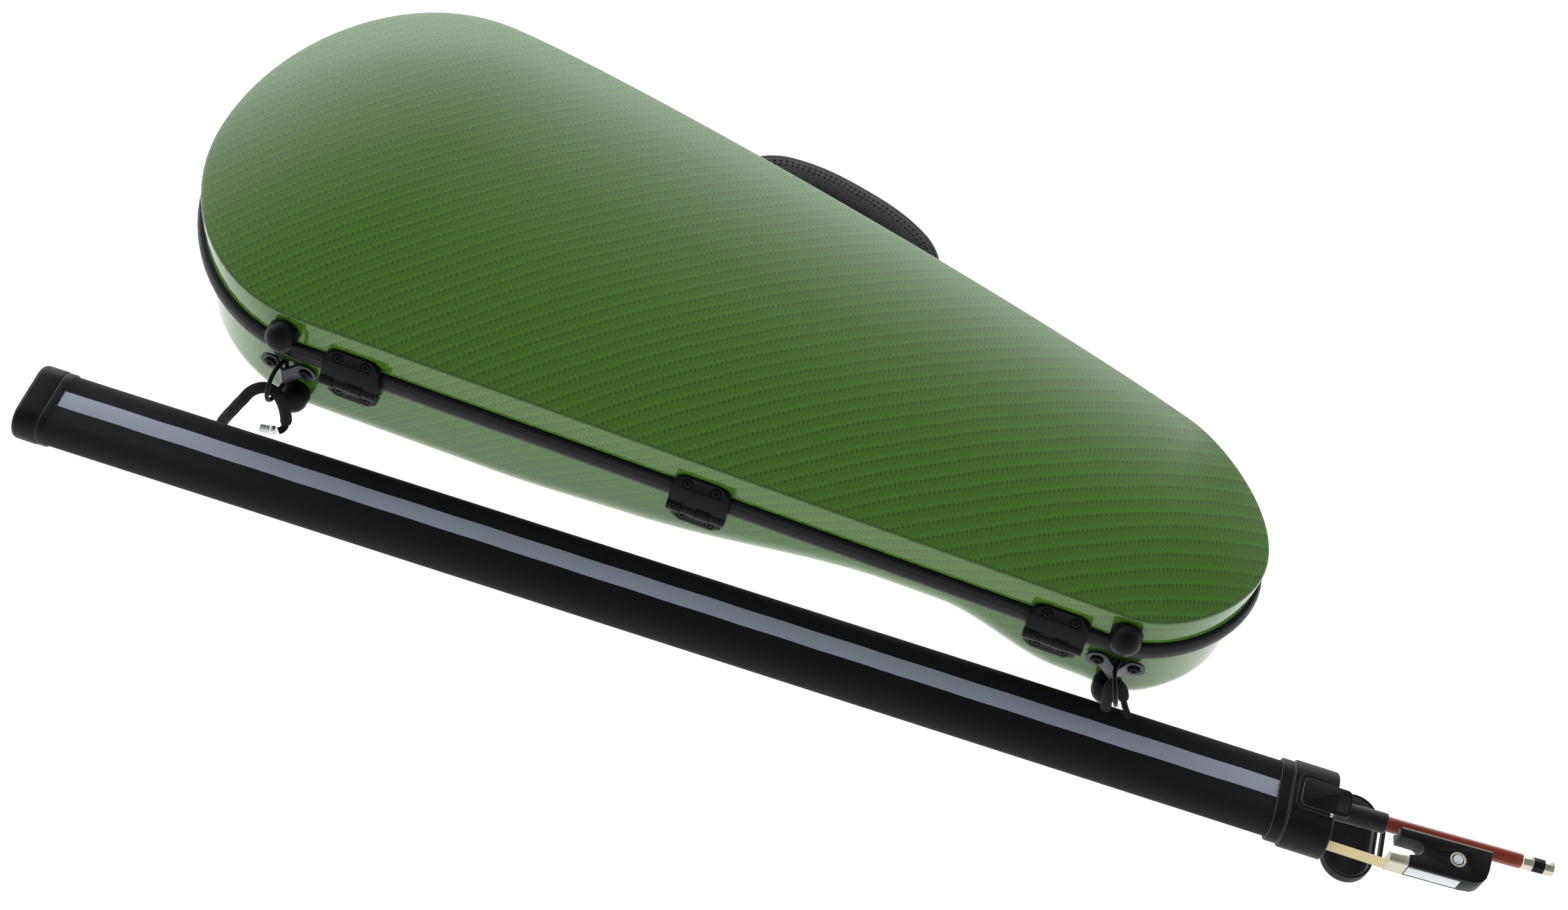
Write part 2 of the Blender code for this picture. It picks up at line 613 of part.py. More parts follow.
LEVER_B, LEVER_C = 5.5, 58.0
BAIL_C = 51.0
for label, lx in zip(("left", "right"), LATCH_X):
    here = wall_frame(lx)
    plate = rounded(-11, 11, 40, 63, 2.5)
    base = prism("latch_base_" + label, here, plate, 0.6, 2.0, BLACK_METAL, axis="b", smooth=False)
    ears = [prism(f"ear_{label}_{s}", here, rounded(1.2, 7.6, 54.5, 61.5, 1.5, 2), min(s * 6.8, s * 8.4), max(s * 6.8, s * 8.4), BLACK_METAL, axis="a", helper=True) for s in (-1, 1)]
    combine(base, "UNION", *ears)
    combine(base, "DIFFERENCE", rod("latch_bore_" + label, here, (LEVER_B, LEVER_C), 1.35, -9, 9, BLACK_METAL, helper=True))
    lever_pivot = pivot("lever_pivot_" + label, here(0, LEVER_B, LEVER_C))
    lever = prism("latch_lever_" + label, here,
                  [(4.4, 60.4), (4.4, 45.0), (5.4, 40.0), (8.0, 36.2), (9.4, 37.0), (7.4, 41.0), (6.7, 45.5), (6.7, 59.6)],
                  -6.3, 6.3, BLACK_METAL, axis="a", parent=lever_pivot, smooth=False)
    combine(lever, "UNION",
            rod("lever_pin_" + label, here, (LEVER_B, LEVER_C), 1.0, -8.9, 8.9, BLACK_METAL, helper=True),
            rod("bail_pin_" + label, here, (LEVER_B, BAIL_C), 1.0, -12.2, 12.2, BLACK_METAL, helper=True))
    bail_pivot = pivot("bail_pivot_" + label, here(0, LEVER_B, BAIL_C))
    loop_out = rounded(-12.0, 12.0, 48.4, 88.2, 2.2, 2)
    bail = prism("latch_bail_" + label, here, loop_out, LEVER_B - 1.3, LEVER_B + 1.3, GREY_METAL, axis="b", parent=bail_pivot, smooth=False)
    window = prism("bail_window_" + label, here, [(-9.3, 40), (9.3, 40), (9.3, 85.6), (-9.3, 85.6)], 0, 12, GREY_METAL, axis="b", helper=True)
    eyes = rod("bail_bore_" + label, here, (LEVER_B, BAIL_C), 1.0 + 0.25, -14, 14, GREY_METAL, helper=True)
    combine(bail, "DIFFERENCE", window)
    # the pin is thicker than the strip leaves room for, so each leg carries a boss
    bosses = [rod(f"bail_boss_{label}_{s}", here, (LEVER_B, BAIL_C), 2.6, min(s * 9.3, s * 12), max(s * 9.3, s * 12), GREY_METAL, helper=True) for s in (-1, 1)]
    combine(bail, "UNION", *bosses)
    combine(bail, "DIFFERENCE", eyes)
    strike = prism("latch_strike_" + label, here,
                   [(0.4, 81.0), (2.0, 81.0), (2.0, 83.6), (6.6, 84.0), (6.6, 85.2), (2.0, 85.2), (2.0, 93.0), (0.4, 93.0)],
                   -7.5, 7.5, BLACK_METAL, axis="a", parent=lid_pivot, smooth=False)

# carrying handle
hf = wall_frame(10.0)
ends = [wall_frame(hf(a, 0, 0).x) for a in HANDLE_A]
mid = (ends[0].o + ends[1].o) / 2
along = (ends[1].o - ends[0].o).normalized()
out = Vector((-along.y, along.x, 0))
handle_frame = Frame((mid.x, mid.y, 0), along, out, (0, 0, 1))
SPAN = (ends[1].o - ends[0].o).length / 2
PIN_B = 8.0
handle_pivot = pivot("handle_pivot", handle_frame(0, PIN_B, HANDLE_Z))
for label, s in (("left", -1), ("right", 1)):
    here = Frame(handle_frame(s * SPAN, 0, 0), along, out, (0, 0, 1))
    base = prism("handle_bracket_" + label, here, rounded(-11, 11, HANDLE_Z - 9, HANDLE_Z + 9, 3), 0.7, 2.4, BLACK_METAL, axis="b", smooth=False)
    ears = [prism(f"h_ear_{label}_{k}", here, rounded(1.4, PIN_B + 2.1, HANDLE_Z - 3.8, HANDLE_Z + 3.8, 2.1, 2), min(k * 6.4, k * 8.4), max(k * 6.4, k * 8.4), BLACK_METAL, axis="a", helper=True) for k in (-1, 1)]
    pin = rod("h_pin_" + label, here, (PIN_B, HANDLE_Z), 1.8, -9.2, 9.2, BLACK_METAL, helper=True)
    combine(base, "UNION", *ears, pin)

# the grip is a swept cushion: its centre line is an arch in the plane of the pins
REACH = 45.0
def arch(t):
    """Centre line of the grip, t from -1 to 1: (along, out)."""
    a = SPAN * t
    shape = (1 - abs(t) ** 2.6) ** 0.85
    return a, PIN_B + (REACH - PIN_B) * shape


grip_verts, grip_faces = [], []
STEPS, ROUND = 22, 10
for i in range(STEPS + 1):
    t = -1 + 2 * i / STEPS
    t = math.copysign(1 - (1 - abs(t)) ** 1.35, t) * 0.998
    a, b = arch(t)
    a2, b2 = arch(min(t + 0.01, 0.999))
    a1, b1 = arch(max(t - 0.01, -0.999))
    d = Vector((a2 - a1, b2 - b1)).normalized()
    n = Vector((-d.y, d.x))
    w = 4.2 + 7.8 * ramp((1 - abs(t)) / 0.45)
    h = 3.6 + 1.6 * ramp((1 - abs(t)) / 0.5)
    for k in range(ROUND):
        ang = 2 * math.pi * k / ROUND
        x, y = math.cos(ang), math.sin(ang)
        x, y = math.copysign(abs(x) ** 0.7, x), math.copysign(abs(y) ** 0.7, y)
        grip_verts.append(handle_frame(a + n.x * w * x, b + n.y * w * x, HANDLE_Z + h * y))
for i in range(STEPS):
    for k in range(ROUND):
        l = (k + 1) % ROUND
        grip_faces.append([i * ROUND + k, i * ROUND + l, (i + 1) * ROUND + l, (i + 1) * ROUND + k])
grip_faces.append(list(range(ROUND))[::-1])
grip_faces.append([STEPS * ROUND + k for k in range(ROUND)])
handle_grip = add("handle_grip", grip_verts, grip_faces, HIDE, parent=handle_pivot)
for label, s in (("left", -1), ("right", 1)):
    here = Frame(handle_frame(s * SPAN, 0, 0), along, out, (0, 0, 1))
    lug = rod("h_lug_" + label, here, (PIN_B, HANDLE_Z), 4.4, -5.6, 5.6, HIDE, count=16, helper=True)
    combine(handle_grip, "UNION", lug)
    combine(handle_grip, "DIFFERENCE", rod("h_hole_" + label, here, (PIN_B, HANDLE_Z), 2.2, -30, 30, HIDE, helper=True))
    for k in (-1, 1):
        room = rod(f"h_room_{label}_{k}", here, (PIN_B, HANDLE_Z), 5.2, min(k * 5.9, k * 9.6), max(k * 5.9, k * 9.6), HIDE, count=24, helper=True)
        combine(handle_grip, "DIFFERENCE", room)

# ---------------------------------------------------------------- bow tube
mouth, closed = Vector(TUBE_MOUTH), Vector(TUBE_END)
u = (mouth - closed).normalized()
n = Vector((u.y, -u.x, 0)).normalized()          # towards the near side
w = n.cross(u)
if w.z < 0:
    w = -w
TUBE = Frame(mouth, u, n, w)
LENGTH = (mouth - closed).length
tube_pivot = pivot("tube_pivot", (-1.6, -14.0, 48.0))


def oval(radius, count=7, flat=TUBE_FLAT):
    """Oval section, two half rounds joined by flats: (b, c) pairs."""
    pts = []
    for side in (1, -1):
        for i in range(count + 1):
            t = -math.pi / 2 + math.pi * i / count
            pts.append((side * (flat / 2 + radius * math.cos(t)), side * radius * math.sin(t)))
    return pts


def oval_sleeve(name, profile, mat, frame=TUBE, closed_end=False, **more):
    """Rings of oval section along the tube; profile is (a, radius). An open sleeve closes on itself."""
    rings = [[frame(a, b, c) for b, c in oval(r)] for a, r in profile]
    m = len(rings[0])
    verts = [p for ring in rings for p in ring]
    faces = []
    pairs = list(range(len(rings) - 1)) + ([] if closed_end else [len(rings) - 1])
    for i in pairs:
        j = (i + 1) % len(rings)
        for k in range(m):
            l = (k + 1) % m
            faces.append([i * m + k, i * m + l, j * m + l, j * m + k])
    if closed_end:
        faces.append(list(range(m)))
        faces.append([(len(rings) - 1) * m + k for k in range(m)])
    return add(name, verts, faces, mat, **more)


bow_tube = oval_sleeve("bow_tube", [
    (-LENGTH + 14.5, TUBE_R), (-12.3, TUBE_R), (-12.3, TUBE_R - TUBE_WALL), (-LENGTH + 14.5, TUBE_R - TUBE_WALL)],
    NYLON, parent=tube_pivot)
tube_end_cap = oval_sleeve("tube_end_cap", [
    (-LENGTH + 20, TUBE_R + 0.3), (-LENGTH + 20, TUBE_R + 0.9), (-LENGTH + 15, TUBE_R + 0.9), (-LENGTH + 14.4, TUBE_R + 1.25),
    (-LENGTH + 2.5, TUBE_R + 1.25), (-LENGTH + 0.7, TUBE_R + 0.4), (-LENGTH, TUBE_R - 1.6), (-LENGTH + 0.0, 0.6),
    (-LENGTH + 3, 0.6), (-LENGTH + 3, TUBE_R - TUBE_WALL), (-LENGTH + 14.1, TUBE_R - TUBE_WALL), (-LENGTH + 14.1, TUBE_R + 0.3)],
    PLASTIC, parent=tube_pivot)
# close the slot left in the middle of the cap's end wall
plug = prism("cap_plug", TUBE, rounded(-TUBE_FLAT / 2 - 3, TUBE_FLAT / 2 + 3, -3, 3, 1), -LENGTH + 0.2, -LENGTH + 2.8, PLASTIC, axis="a", helper=True)
combine(tube_end_cap, "UNION", plug)

# reflective tape along the middle of the tube's upper side
tube_stripe = prism("tube_stripe", TUBE, [(-LENGTH + 20.2, -5.6), (-31.8, -5.6), (-31.8, 4.8), (-LENGTH + 20.2, 4.8)],
                    TUBE_R + 0.02, TUBE_R + 0.27, TAPE, parent=tube_pivot, smooth=False)

COLLAR_R = 13.9
tube_collar = oval_sleeve("tube_collar", [
    (-31.5, TUBE_R + 0.3), (-31.5, TUBE_R + 1.9), (-24.6, TUBE_R + 1.9), (-24.3, COLLAR_R - 0.6), (-23.7, COLLAR_R),
    (-1.0, COLLAR_R), (0, COLLAR_R - 0.8), (0, TUBE_R - TUBE_WALL), (-12.0, TUBE_R - TUBE_WALL), (-12.0, TUBE_R + 0.3)],
    PLASTIC, parent=tube_pivot)
# raised frame round the latch tab, open towards the mouth
frame_out = rounded(-22.0, 0.0, -12.6, 8.6, 4.5)
frame_in = [(2, -10.7), (-17.5, -10.7), (-19.6, -8.6), (-19.6, 4.6), (-17.5, 6.7), (2, 6.7)]
ridge = prism("ridge", TUBE, frame_out, COLLAR_R - 2.0, COLLAR_R + 1.1, PLASTIC, helper=True)
well = prism("ridge_well", TUBE, frame_in, COLLAR_R - 1.3, COLLAR_R + 4, PLASTIC, helper=True)
foot_axis = (0.6, -COLLAR_R - 0.2)
knuckle = rod("collar_knuckle", TUBE, foot_axis, 1.9, -9.0, 9.0, PLASTIC, axis="b", count=10, helper=True)
combine(tube_collar, "UNION", ridge)
combine(tube_collar, "DIFFERENCE", well)
combine(tube_collar, "UNION", knuckle)

tab_pivot = pivot("tab_pivot", TUBE(-17.6, -2.0, COLLAR_R - 0.2))
latch_tab = prism("tube_latch_tab", TUBE, rounded(-19.2, 7.6, -10.2, 6.2, 3.4), COLLAR_R - 1.0, COLLAR_R + 1.0, PLASTIC, parent=tab_pivot)

# lid of the tube, drawn shut and turned open about its lower edge
LID_OPEN = 90.0
axis_a, axis_c = 2.4, -COLLAR_R - 0.2
turn = math.radians(LID_OPEN)


def opened(a, b, c):
    """Where a point of the shut lid stands once the lid has swung out and down."""
    da, dc = a - axis_a, c - axis_c
    return TUBE(axis_a + da * math.cos(turn) + dc * math.sin(turn), b, axis_c - da * math.sin(turn) + dc * math.cos(turn))


tube_lid_pivot = pivot("tube_lid_pivot", TUBE(axis_a, 0, axis_c))


class Opened:
    def __call__(self, a, b, c):
        return opened(a, b, c)


LID_DEPTH = 8.2
cup = [(0.6, COLLAR_R), (0.6 + LID_DEPTH - 1.6, COLLAR_R), (0.6 + LID_DEPTH, COLLAR_R - 1.8), (0.6 + LID_DEPTH, 0.6),
       (0.6 + LID_DEPTH - 1.5, 0.6), (0.6 + LID_DEPTH - 1.5, COLLAR_R - 3.0), (0.6 + LID_DEPTH - 3, COLLAR_R - 1.6), (0.6, COLLAR_R - 1.6)]
tube_lid = oval_sleeve("tube_lid", cup, PLASTIC, frame=Opened(), parent=tube_lid_pivot)
# bridge that the latch tab slides under when the lid is shut
catch = prism("lid_catch", Opened(), [(-12.5, 12.7), (-10.9, 12.7), (-10.9, 16.7), (6.9, 16.7), (6.9, 12.7), (8.5, 12.7),
                                      (8.5, 17.2), (7.1, 18.6), (-11.1, 18.6), (-12.5, 17.2)], 1.2, 5.4, PLASTIC, axis="a", helper=True)
combine(tube_lid, "UNION", catch)
lid_plug = prism("lid_plug", Opened(), rounded(-TUBE_FLAT / 2 - 3, TUBE_FLAT / 2 + 3, -3, 3, 1), 0.6 + LID_DEPTH - 1.4, 0.6 + LID_DEPTH - 0.1, PLASTIC, axis="a", helper=True)
combine(tube_lid, "UNION", lid_plug)

# ---------------------------------------------------------------- hanging loops
SLEEVE_R, CORD_R = (3.2, 3.0), (2.0, 1.7)
loops = {
    "left": [(-275.5, -23.6, 9.5), (-273.0, -23.6, 16), (-266.5, -25.2, 30), (-260.5, -24.5, 42), (-256, -22, 49.5), (-251, -20, 53.6),
             (-246, -19.2, 54.6), (-240.9, -18.8, 50.5), (-238.4, -18.8, 42), (-237.2, -19.2, 34.5), (-237, -19.8, 28.3)],
    "right": [(244.2, -17.2, 35.5), (242.6, -18.2, 45), (241, -18.2, 53), (241.4, -16.6, 58.2), (245, -15.8, 59),
              (248.4, -16.6, 55.5), (250, -17.2, 51)],
}
ties = {
    "left": [(-237.2, -20.0, 27.6), (-237.2, -21, 25.4), (-238.2, -22.8, 23.9), (-239.8, -24.3, 23.5)],
    "right": [(250.3, -17.3, 50.2), (253, -17.8, 44), (257.5, -18.0, 35.5)],
}
for k, label in enumerate(("left", "right")):
    wire("strap_loop_" + label, smooth_route(loops[label], 20), SLEEVE_R[k], NYLON, parent=tube_pivot)
    wire("loop_cord_" + label, smooth_route(ties[label], 6), CORD_R[k], NYLON, parent=tube_pivot)

clasp_a = Vector((-6.6, -0.9, -0.6)).normalized()
clasp_b = Vector((-clasp_a.y, clasp_a.x, 0)).normalized()
clasp_frame = Frame((-241.1, -24.6, 23.4), clasp_a, clasp_b, clasp_a.cross(clasp_b))
lathe("loop_clasp_left", clasp_frame, [(0, 0), (0, 2.7), (3.4, 2.9), (3.8, 2.3), (9.6, 2.3), (9.6, 0)], ZINC,
      axis="a", count=12, parent=tube_pivot)

# ---------------------------------------------------------------- bow
bow_pivot = pivot("bow_pivot", TUBE(0, 0, 0))
HEAD_A = BOW_OUT - BOW_LENGTH + 22
SLANT = 0.045                       # the stick's frog end runs at this slope to its chord
STRAIGHT_TO = -20.0


def bow_line(a):
    """Sideways place of the stick: straight at the frog, then bent towards the hair up to the head."""
    if a > STRAIGHT_TO:
        return -4.1 - SLANT * (a - STRAIGHT_TO)
    t = min((STRAIGHT_TO - a) / (STRAIGHT_TO - HEAD_A), 1.0)
    return -4.1 + SLANT * (STRAIGHT_TO - HEAD_A) * t * (1 - t)


class Bow:
    """a along the tube, p from the stick towards the hair, q up."""

    def __call__(self, a, p, q):
        return TUBE(a, bow_line(a) + p, q)


BOW = Bow()
STICK_R = 4.35


def stick_radius(a):
    return 2.8 + (STICK_R - 2.8) * ramp((a - HEAD_A) / (20 - HEAD_A))


verts, faces = [], []
marks = [106.0, 60.0, 30.0, 0.0, -30.0, -80.0] + [-80 + (HEAD_A + 80) * i / 9 for i in range(1, 10)]
for a in marks:
    for i in range(8):
        t = 2 * math.pi * (i + 0.5) / 8
        verts.append(BOW(a, stick_radius(a) * math.cos(t), stick_radius(a) * math.sin(t)))
for i in range(len(marks) - 1):
    for k in range(8):
        l = (k + 1) % 8
        faces.append([i * 8 + k, i * 8 + l, i * 8 + 8 + l, i * 8 + 8 + k])
faces += [list(range(8)), [(len(marks) - 1) * 8 + k for k in range(8)]]
bow_stick = add("bow_stick", verts, faces, WOOD, parent=bow_pivot)

prism("bow_head", BOW, [(HEAD_A - 0.4, -2.8), (HEAD_A - 0.4, 4), (HEAD_A - 6, 17.5), (HEAD_A - 19, 18.5), (HEAD_A - 22, 17), (HEAD_A - 14, 4), (HEAD_A - 9, -2.8)],
      -4.5, 4.5, WOOD, parent=bow_pivot)

verts, faces = [], []
marks = [33.6, -60, -200, -400, HEAD_A + 1]
for a in marks:
    t = (33.6 - a) / (33.6 - marks[-1])
    across, half = 17.4 - 3.0 * t, 5.6 - 1.2 * t
    verts += [TUBE(a, across - 0.5, -half), TUBE(a, across + 0.5, -half), TUBE(a, across + 0.5, half), TUBE(a, across - 0.5, half)]
hair_end = len(marks) - 1
for i in range(hair_end):
    for k in range(4):
        l = (k + 1) % 4
        faces.append([i * 4 + k, i * 4 + l, i * 4 + 4 + l, i * 4 + 4 + k])
faces += [[0, 1, 2, 3], [hair_end * 4 + k for k in range(4)]]
bow_hair = add("bow_hair", verts, faces, HAIR, parent=bow_pivot, smooth=False)

frog = [(36.6, 0.4), (88.6, 0.4), (88.0, 14), (86.6, 19.5), (82.5, 23.2), (76, 24.2), (44.4, 24.2), (44.4, 17.8)]
frog += [(47.6 + 3.9 * math.sin(math.pi * i / 6), 12.6 + 4.2 * math.cos(math.pi * i / 6)) for i in range(7)]
frog += [(38.4, 8.2)]
bow_frog = prism("bow_frog", BOW, frog, -6.2, 6.2, EBONY, parent=bow_pivot, smooth=False)
combine(bow_frog, "DIFFERENCE", prism("frog_groove", BOW, circle(STICK_R + 0.35, 16, (0, 0)), 20, 100, EBONY, axis="a", helper=True))
prism("frog_ferrule", BOW, rounded(17.6, 25.0, -6.8, 6.8, 2.6), 34.0, 44.0, SILVER, axis="a", parent=bow_pivot)
lathe("bow_screw_button", BOW, [(106.4, 0), (106.4, 4.3), (123.0, 4.3), (BOW_OUT, 3.7), (BOW_OUT, 0)], SILVER, axis="a", count=8, parent=bow_pivot)

verts, faces = [], []
marks = [31.0, 10.0, -10.0, -30.0]
rings = [(a, 5.7) for a in marks] + [(a, STICK_R + 0.35) for a in marks[::-1]]
for a, r in rings:
    for i in range(12):
        t = 2 * math.pi * i / 12
        verts.append(BOW(a, r * math.cos(t), r * math.sin(t)))
for i in range(len(rings)):
    j = (i + 1) % len(rings)
    for k in range(12):
        l = (k + 1) % 12
        faces.append([i * 12 + k, i * 12 + l, j * 12 + l, j * 12 + k])
bow_grip = add("bow_grip", verts, faces, HIDE, parent=bow_pivot)

# parents move, children keep their places
bpy.context.view_layer.update()
for child, parent in (("bail_pivot_left", "lever_pivot_left"), ("bail_pivot_right", "lever_pivot_right"),
                      ("tab_pivot", "tube_pivot"), ("tube_lid_pivot", "tube_pivot"), ("bow_pivot", "tube_pivot")):
    c, p = bpy.data.objects[child], bpy.data.objects[parent]
    world = c.matrix_world.copy()
    c.parent = p
    c.matrix_parent_inverse = p.matrix_world.inverted()
    c.matrix_world = world
bpy.context.view_layer.update()
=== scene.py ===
"""Looks of the violin case: fine surfaces, woven composite, rubber, leather, nylon and bow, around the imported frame."""
import json
import math

import bmesh
import bpy
import numpy as np
from mathutils import Matrix, Vector

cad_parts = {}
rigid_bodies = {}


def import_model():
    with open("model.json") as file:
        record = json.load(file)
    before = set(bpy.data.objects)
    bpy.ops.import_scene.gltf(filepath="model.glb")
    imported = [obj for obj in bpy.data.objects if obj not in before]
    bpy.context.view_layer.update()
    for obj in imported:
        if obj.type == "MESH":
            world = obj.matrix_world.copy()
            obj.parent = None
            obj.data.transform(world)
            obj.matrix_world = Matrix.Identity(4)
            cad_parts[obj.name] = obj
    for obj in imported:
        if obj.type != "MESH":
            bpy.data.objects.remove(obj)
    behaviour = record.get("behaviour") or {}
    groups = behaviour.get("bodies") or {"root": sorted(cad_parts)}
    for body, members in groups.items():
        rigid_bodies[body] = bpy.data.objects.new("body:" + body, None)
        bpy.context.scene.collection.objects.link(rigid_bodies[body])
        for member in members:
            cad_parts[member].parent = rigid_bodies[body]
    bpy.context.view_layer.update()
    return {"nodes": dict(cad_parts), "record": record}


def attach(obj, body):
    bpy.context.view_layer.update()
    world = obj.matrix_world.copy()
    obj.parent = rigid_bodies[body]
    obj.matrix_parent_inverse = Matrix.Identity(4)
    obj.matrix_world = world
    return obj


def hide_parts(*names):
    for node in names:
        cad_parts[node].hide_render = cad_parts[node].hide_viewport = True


for item in list(bpy.data.objects):
    bpy.data.objects.remove(item, do_unlink=True)

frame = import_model()
nodes = frame["nodes"]

# ---------------------------------------------------------------- drawing frame (mm), as in the CAD
CENTRE_X, CENTRE_Y = 60.9, 95.46
BASE_RIM, SEAL_LOW, SEAL_TOP = 74.0, 64.2, 78.7
LID_RIM, LID_EDGE, LID_FILLET = 79.0, 100.0, 2.3
LID_CROWN = (15.0, 9.0)
WALL, DRAFT, WAIST_RISE = 3.0, 1.5, 27.0
SPINE_L, SPINE_R = Vector((-212.0, 128.0)), Vector((236.0, 67.0))


def place(p):
    return Vector(((p[0] - CENTRE_X) / 1000, (p[1] - CENTRE_Y) / 1000, p[2] / 1000))


def ramp(t):
    t = min(max(t, 0.0), 1.0)
    return t * t * (3 - 2 * t)


# ---------------------------------------------------------------- node helpers
class Graph:
    """Shorthand for building a node tree."""

    def __init__(self, tree):
        self.tree = tree

    def node(self, kind, **settings):
        n = self.tree.nodes.new(kind)
        for key, value in settings.items():
            setattr(n, key, value)
        return n

    def link(self, source, target):
        self.tree.links.new(source, target)

    def put(self, socket, value):
        if isinstance(value, bpy.types.NodeSocket):
            self.link(value, socket)
        elif value is not None:
            socket.default_value = value

    def math(self, op, a, b=None, c=None, clamp=False):
        n = self.node("ShaderNodeMath", operation=op, use_clamp=clamp)
        for i, v in enumerate((a, b, c)):
            if v is not None:
                self.put(n.inputs[i], v)
        return n.outputs[0]

    def mix(self, factor, a, b, blend="MIX"):
        n = self.node("ShaderNodeMix", data_type="RGBA", blend_type=blend)
        self.put(n.inputs[0], factor)
        for socket, value in ((n.inputs[6], a), (n.inputs[7], b)):
            self.put(socket, (*value, 1) if isinstance(value, tuple) and len(value) == 3 else value)
        return n.outputs[2]

    def noise(self, vector, scale, detail=2.0, rough=0.5, out="Fac"):
        n = self.node("ShaderNodeTexNoise")
        self.put(n.inputs["Vector"], vector)
        n.inputs["Scale"].default_value = scale
        n.inputs["Detail"].default_value = detail
        n.inputs["Roughness"].default_value = rough
        return n.outputs[out]

    def ramp(self, value, stops, mode="LINEAR"):
        n = self.node("ShaderNodeValToRGB")
        n.color_ramp.interpolation = mode
        self.put(n.inputs[0], value)
        e = n.color_ramp.elements
        while len(e) < len(stops):
            e.new(0.5)
        for el, (pos, colour) in zip(e, stops):
            el.position = pos
            el.color = (*colour, 1) if len(colour) == 3 else colour
        return n.outputs[0]

    def remap(self, value, a, b, c=0.0, d=1.0, kind="LINEAR"):
        n = self.node("ShaderNodeMapRange", interpolation_type=kind)
        for i, v in enumerate((value, a, b, c, d)):
            self.put(n.inputs[i], v)
        return n.outputs[0]

    def xyz(self, vector):
        n = self.node("ShaderNodeSeparateXYZ")
        self.link(vector, n.inputs[0])
        return n.outputs

    def vec(self, x, y, z=0.0):
        n = self.node("ShaderNodeCombineXYZ")
        for i, v in enumerate((x, y, z)):
            self.put(n.inputs[i], v)
        return n.outputs[0]

    def bump(self, height, strength=0.3, distance=0.0003, normal=None):
        n = self.node("ShaderNodeBump")
        n.inputs["Strength"].default_value = strength
        n.inputs["Distance"].default_value = distance
        self.link(height, n.inputs["Height"])
        if normal:
            self.link(normal, n.inputs["Normal"])
        return n.outputs[0]


def new_material(name):
    mat = bpy.data.materials.new(name)
    mat.use_nodes = True
    g = Graph(mat.node_tree)
    bsdf = mat.node_tree.nodes["Principled BSDF"]
    return mat, g, bsdf


def coords(g, kind="Object"):
    return g.node("ShaderNodeTexCoord").outputs[kind]


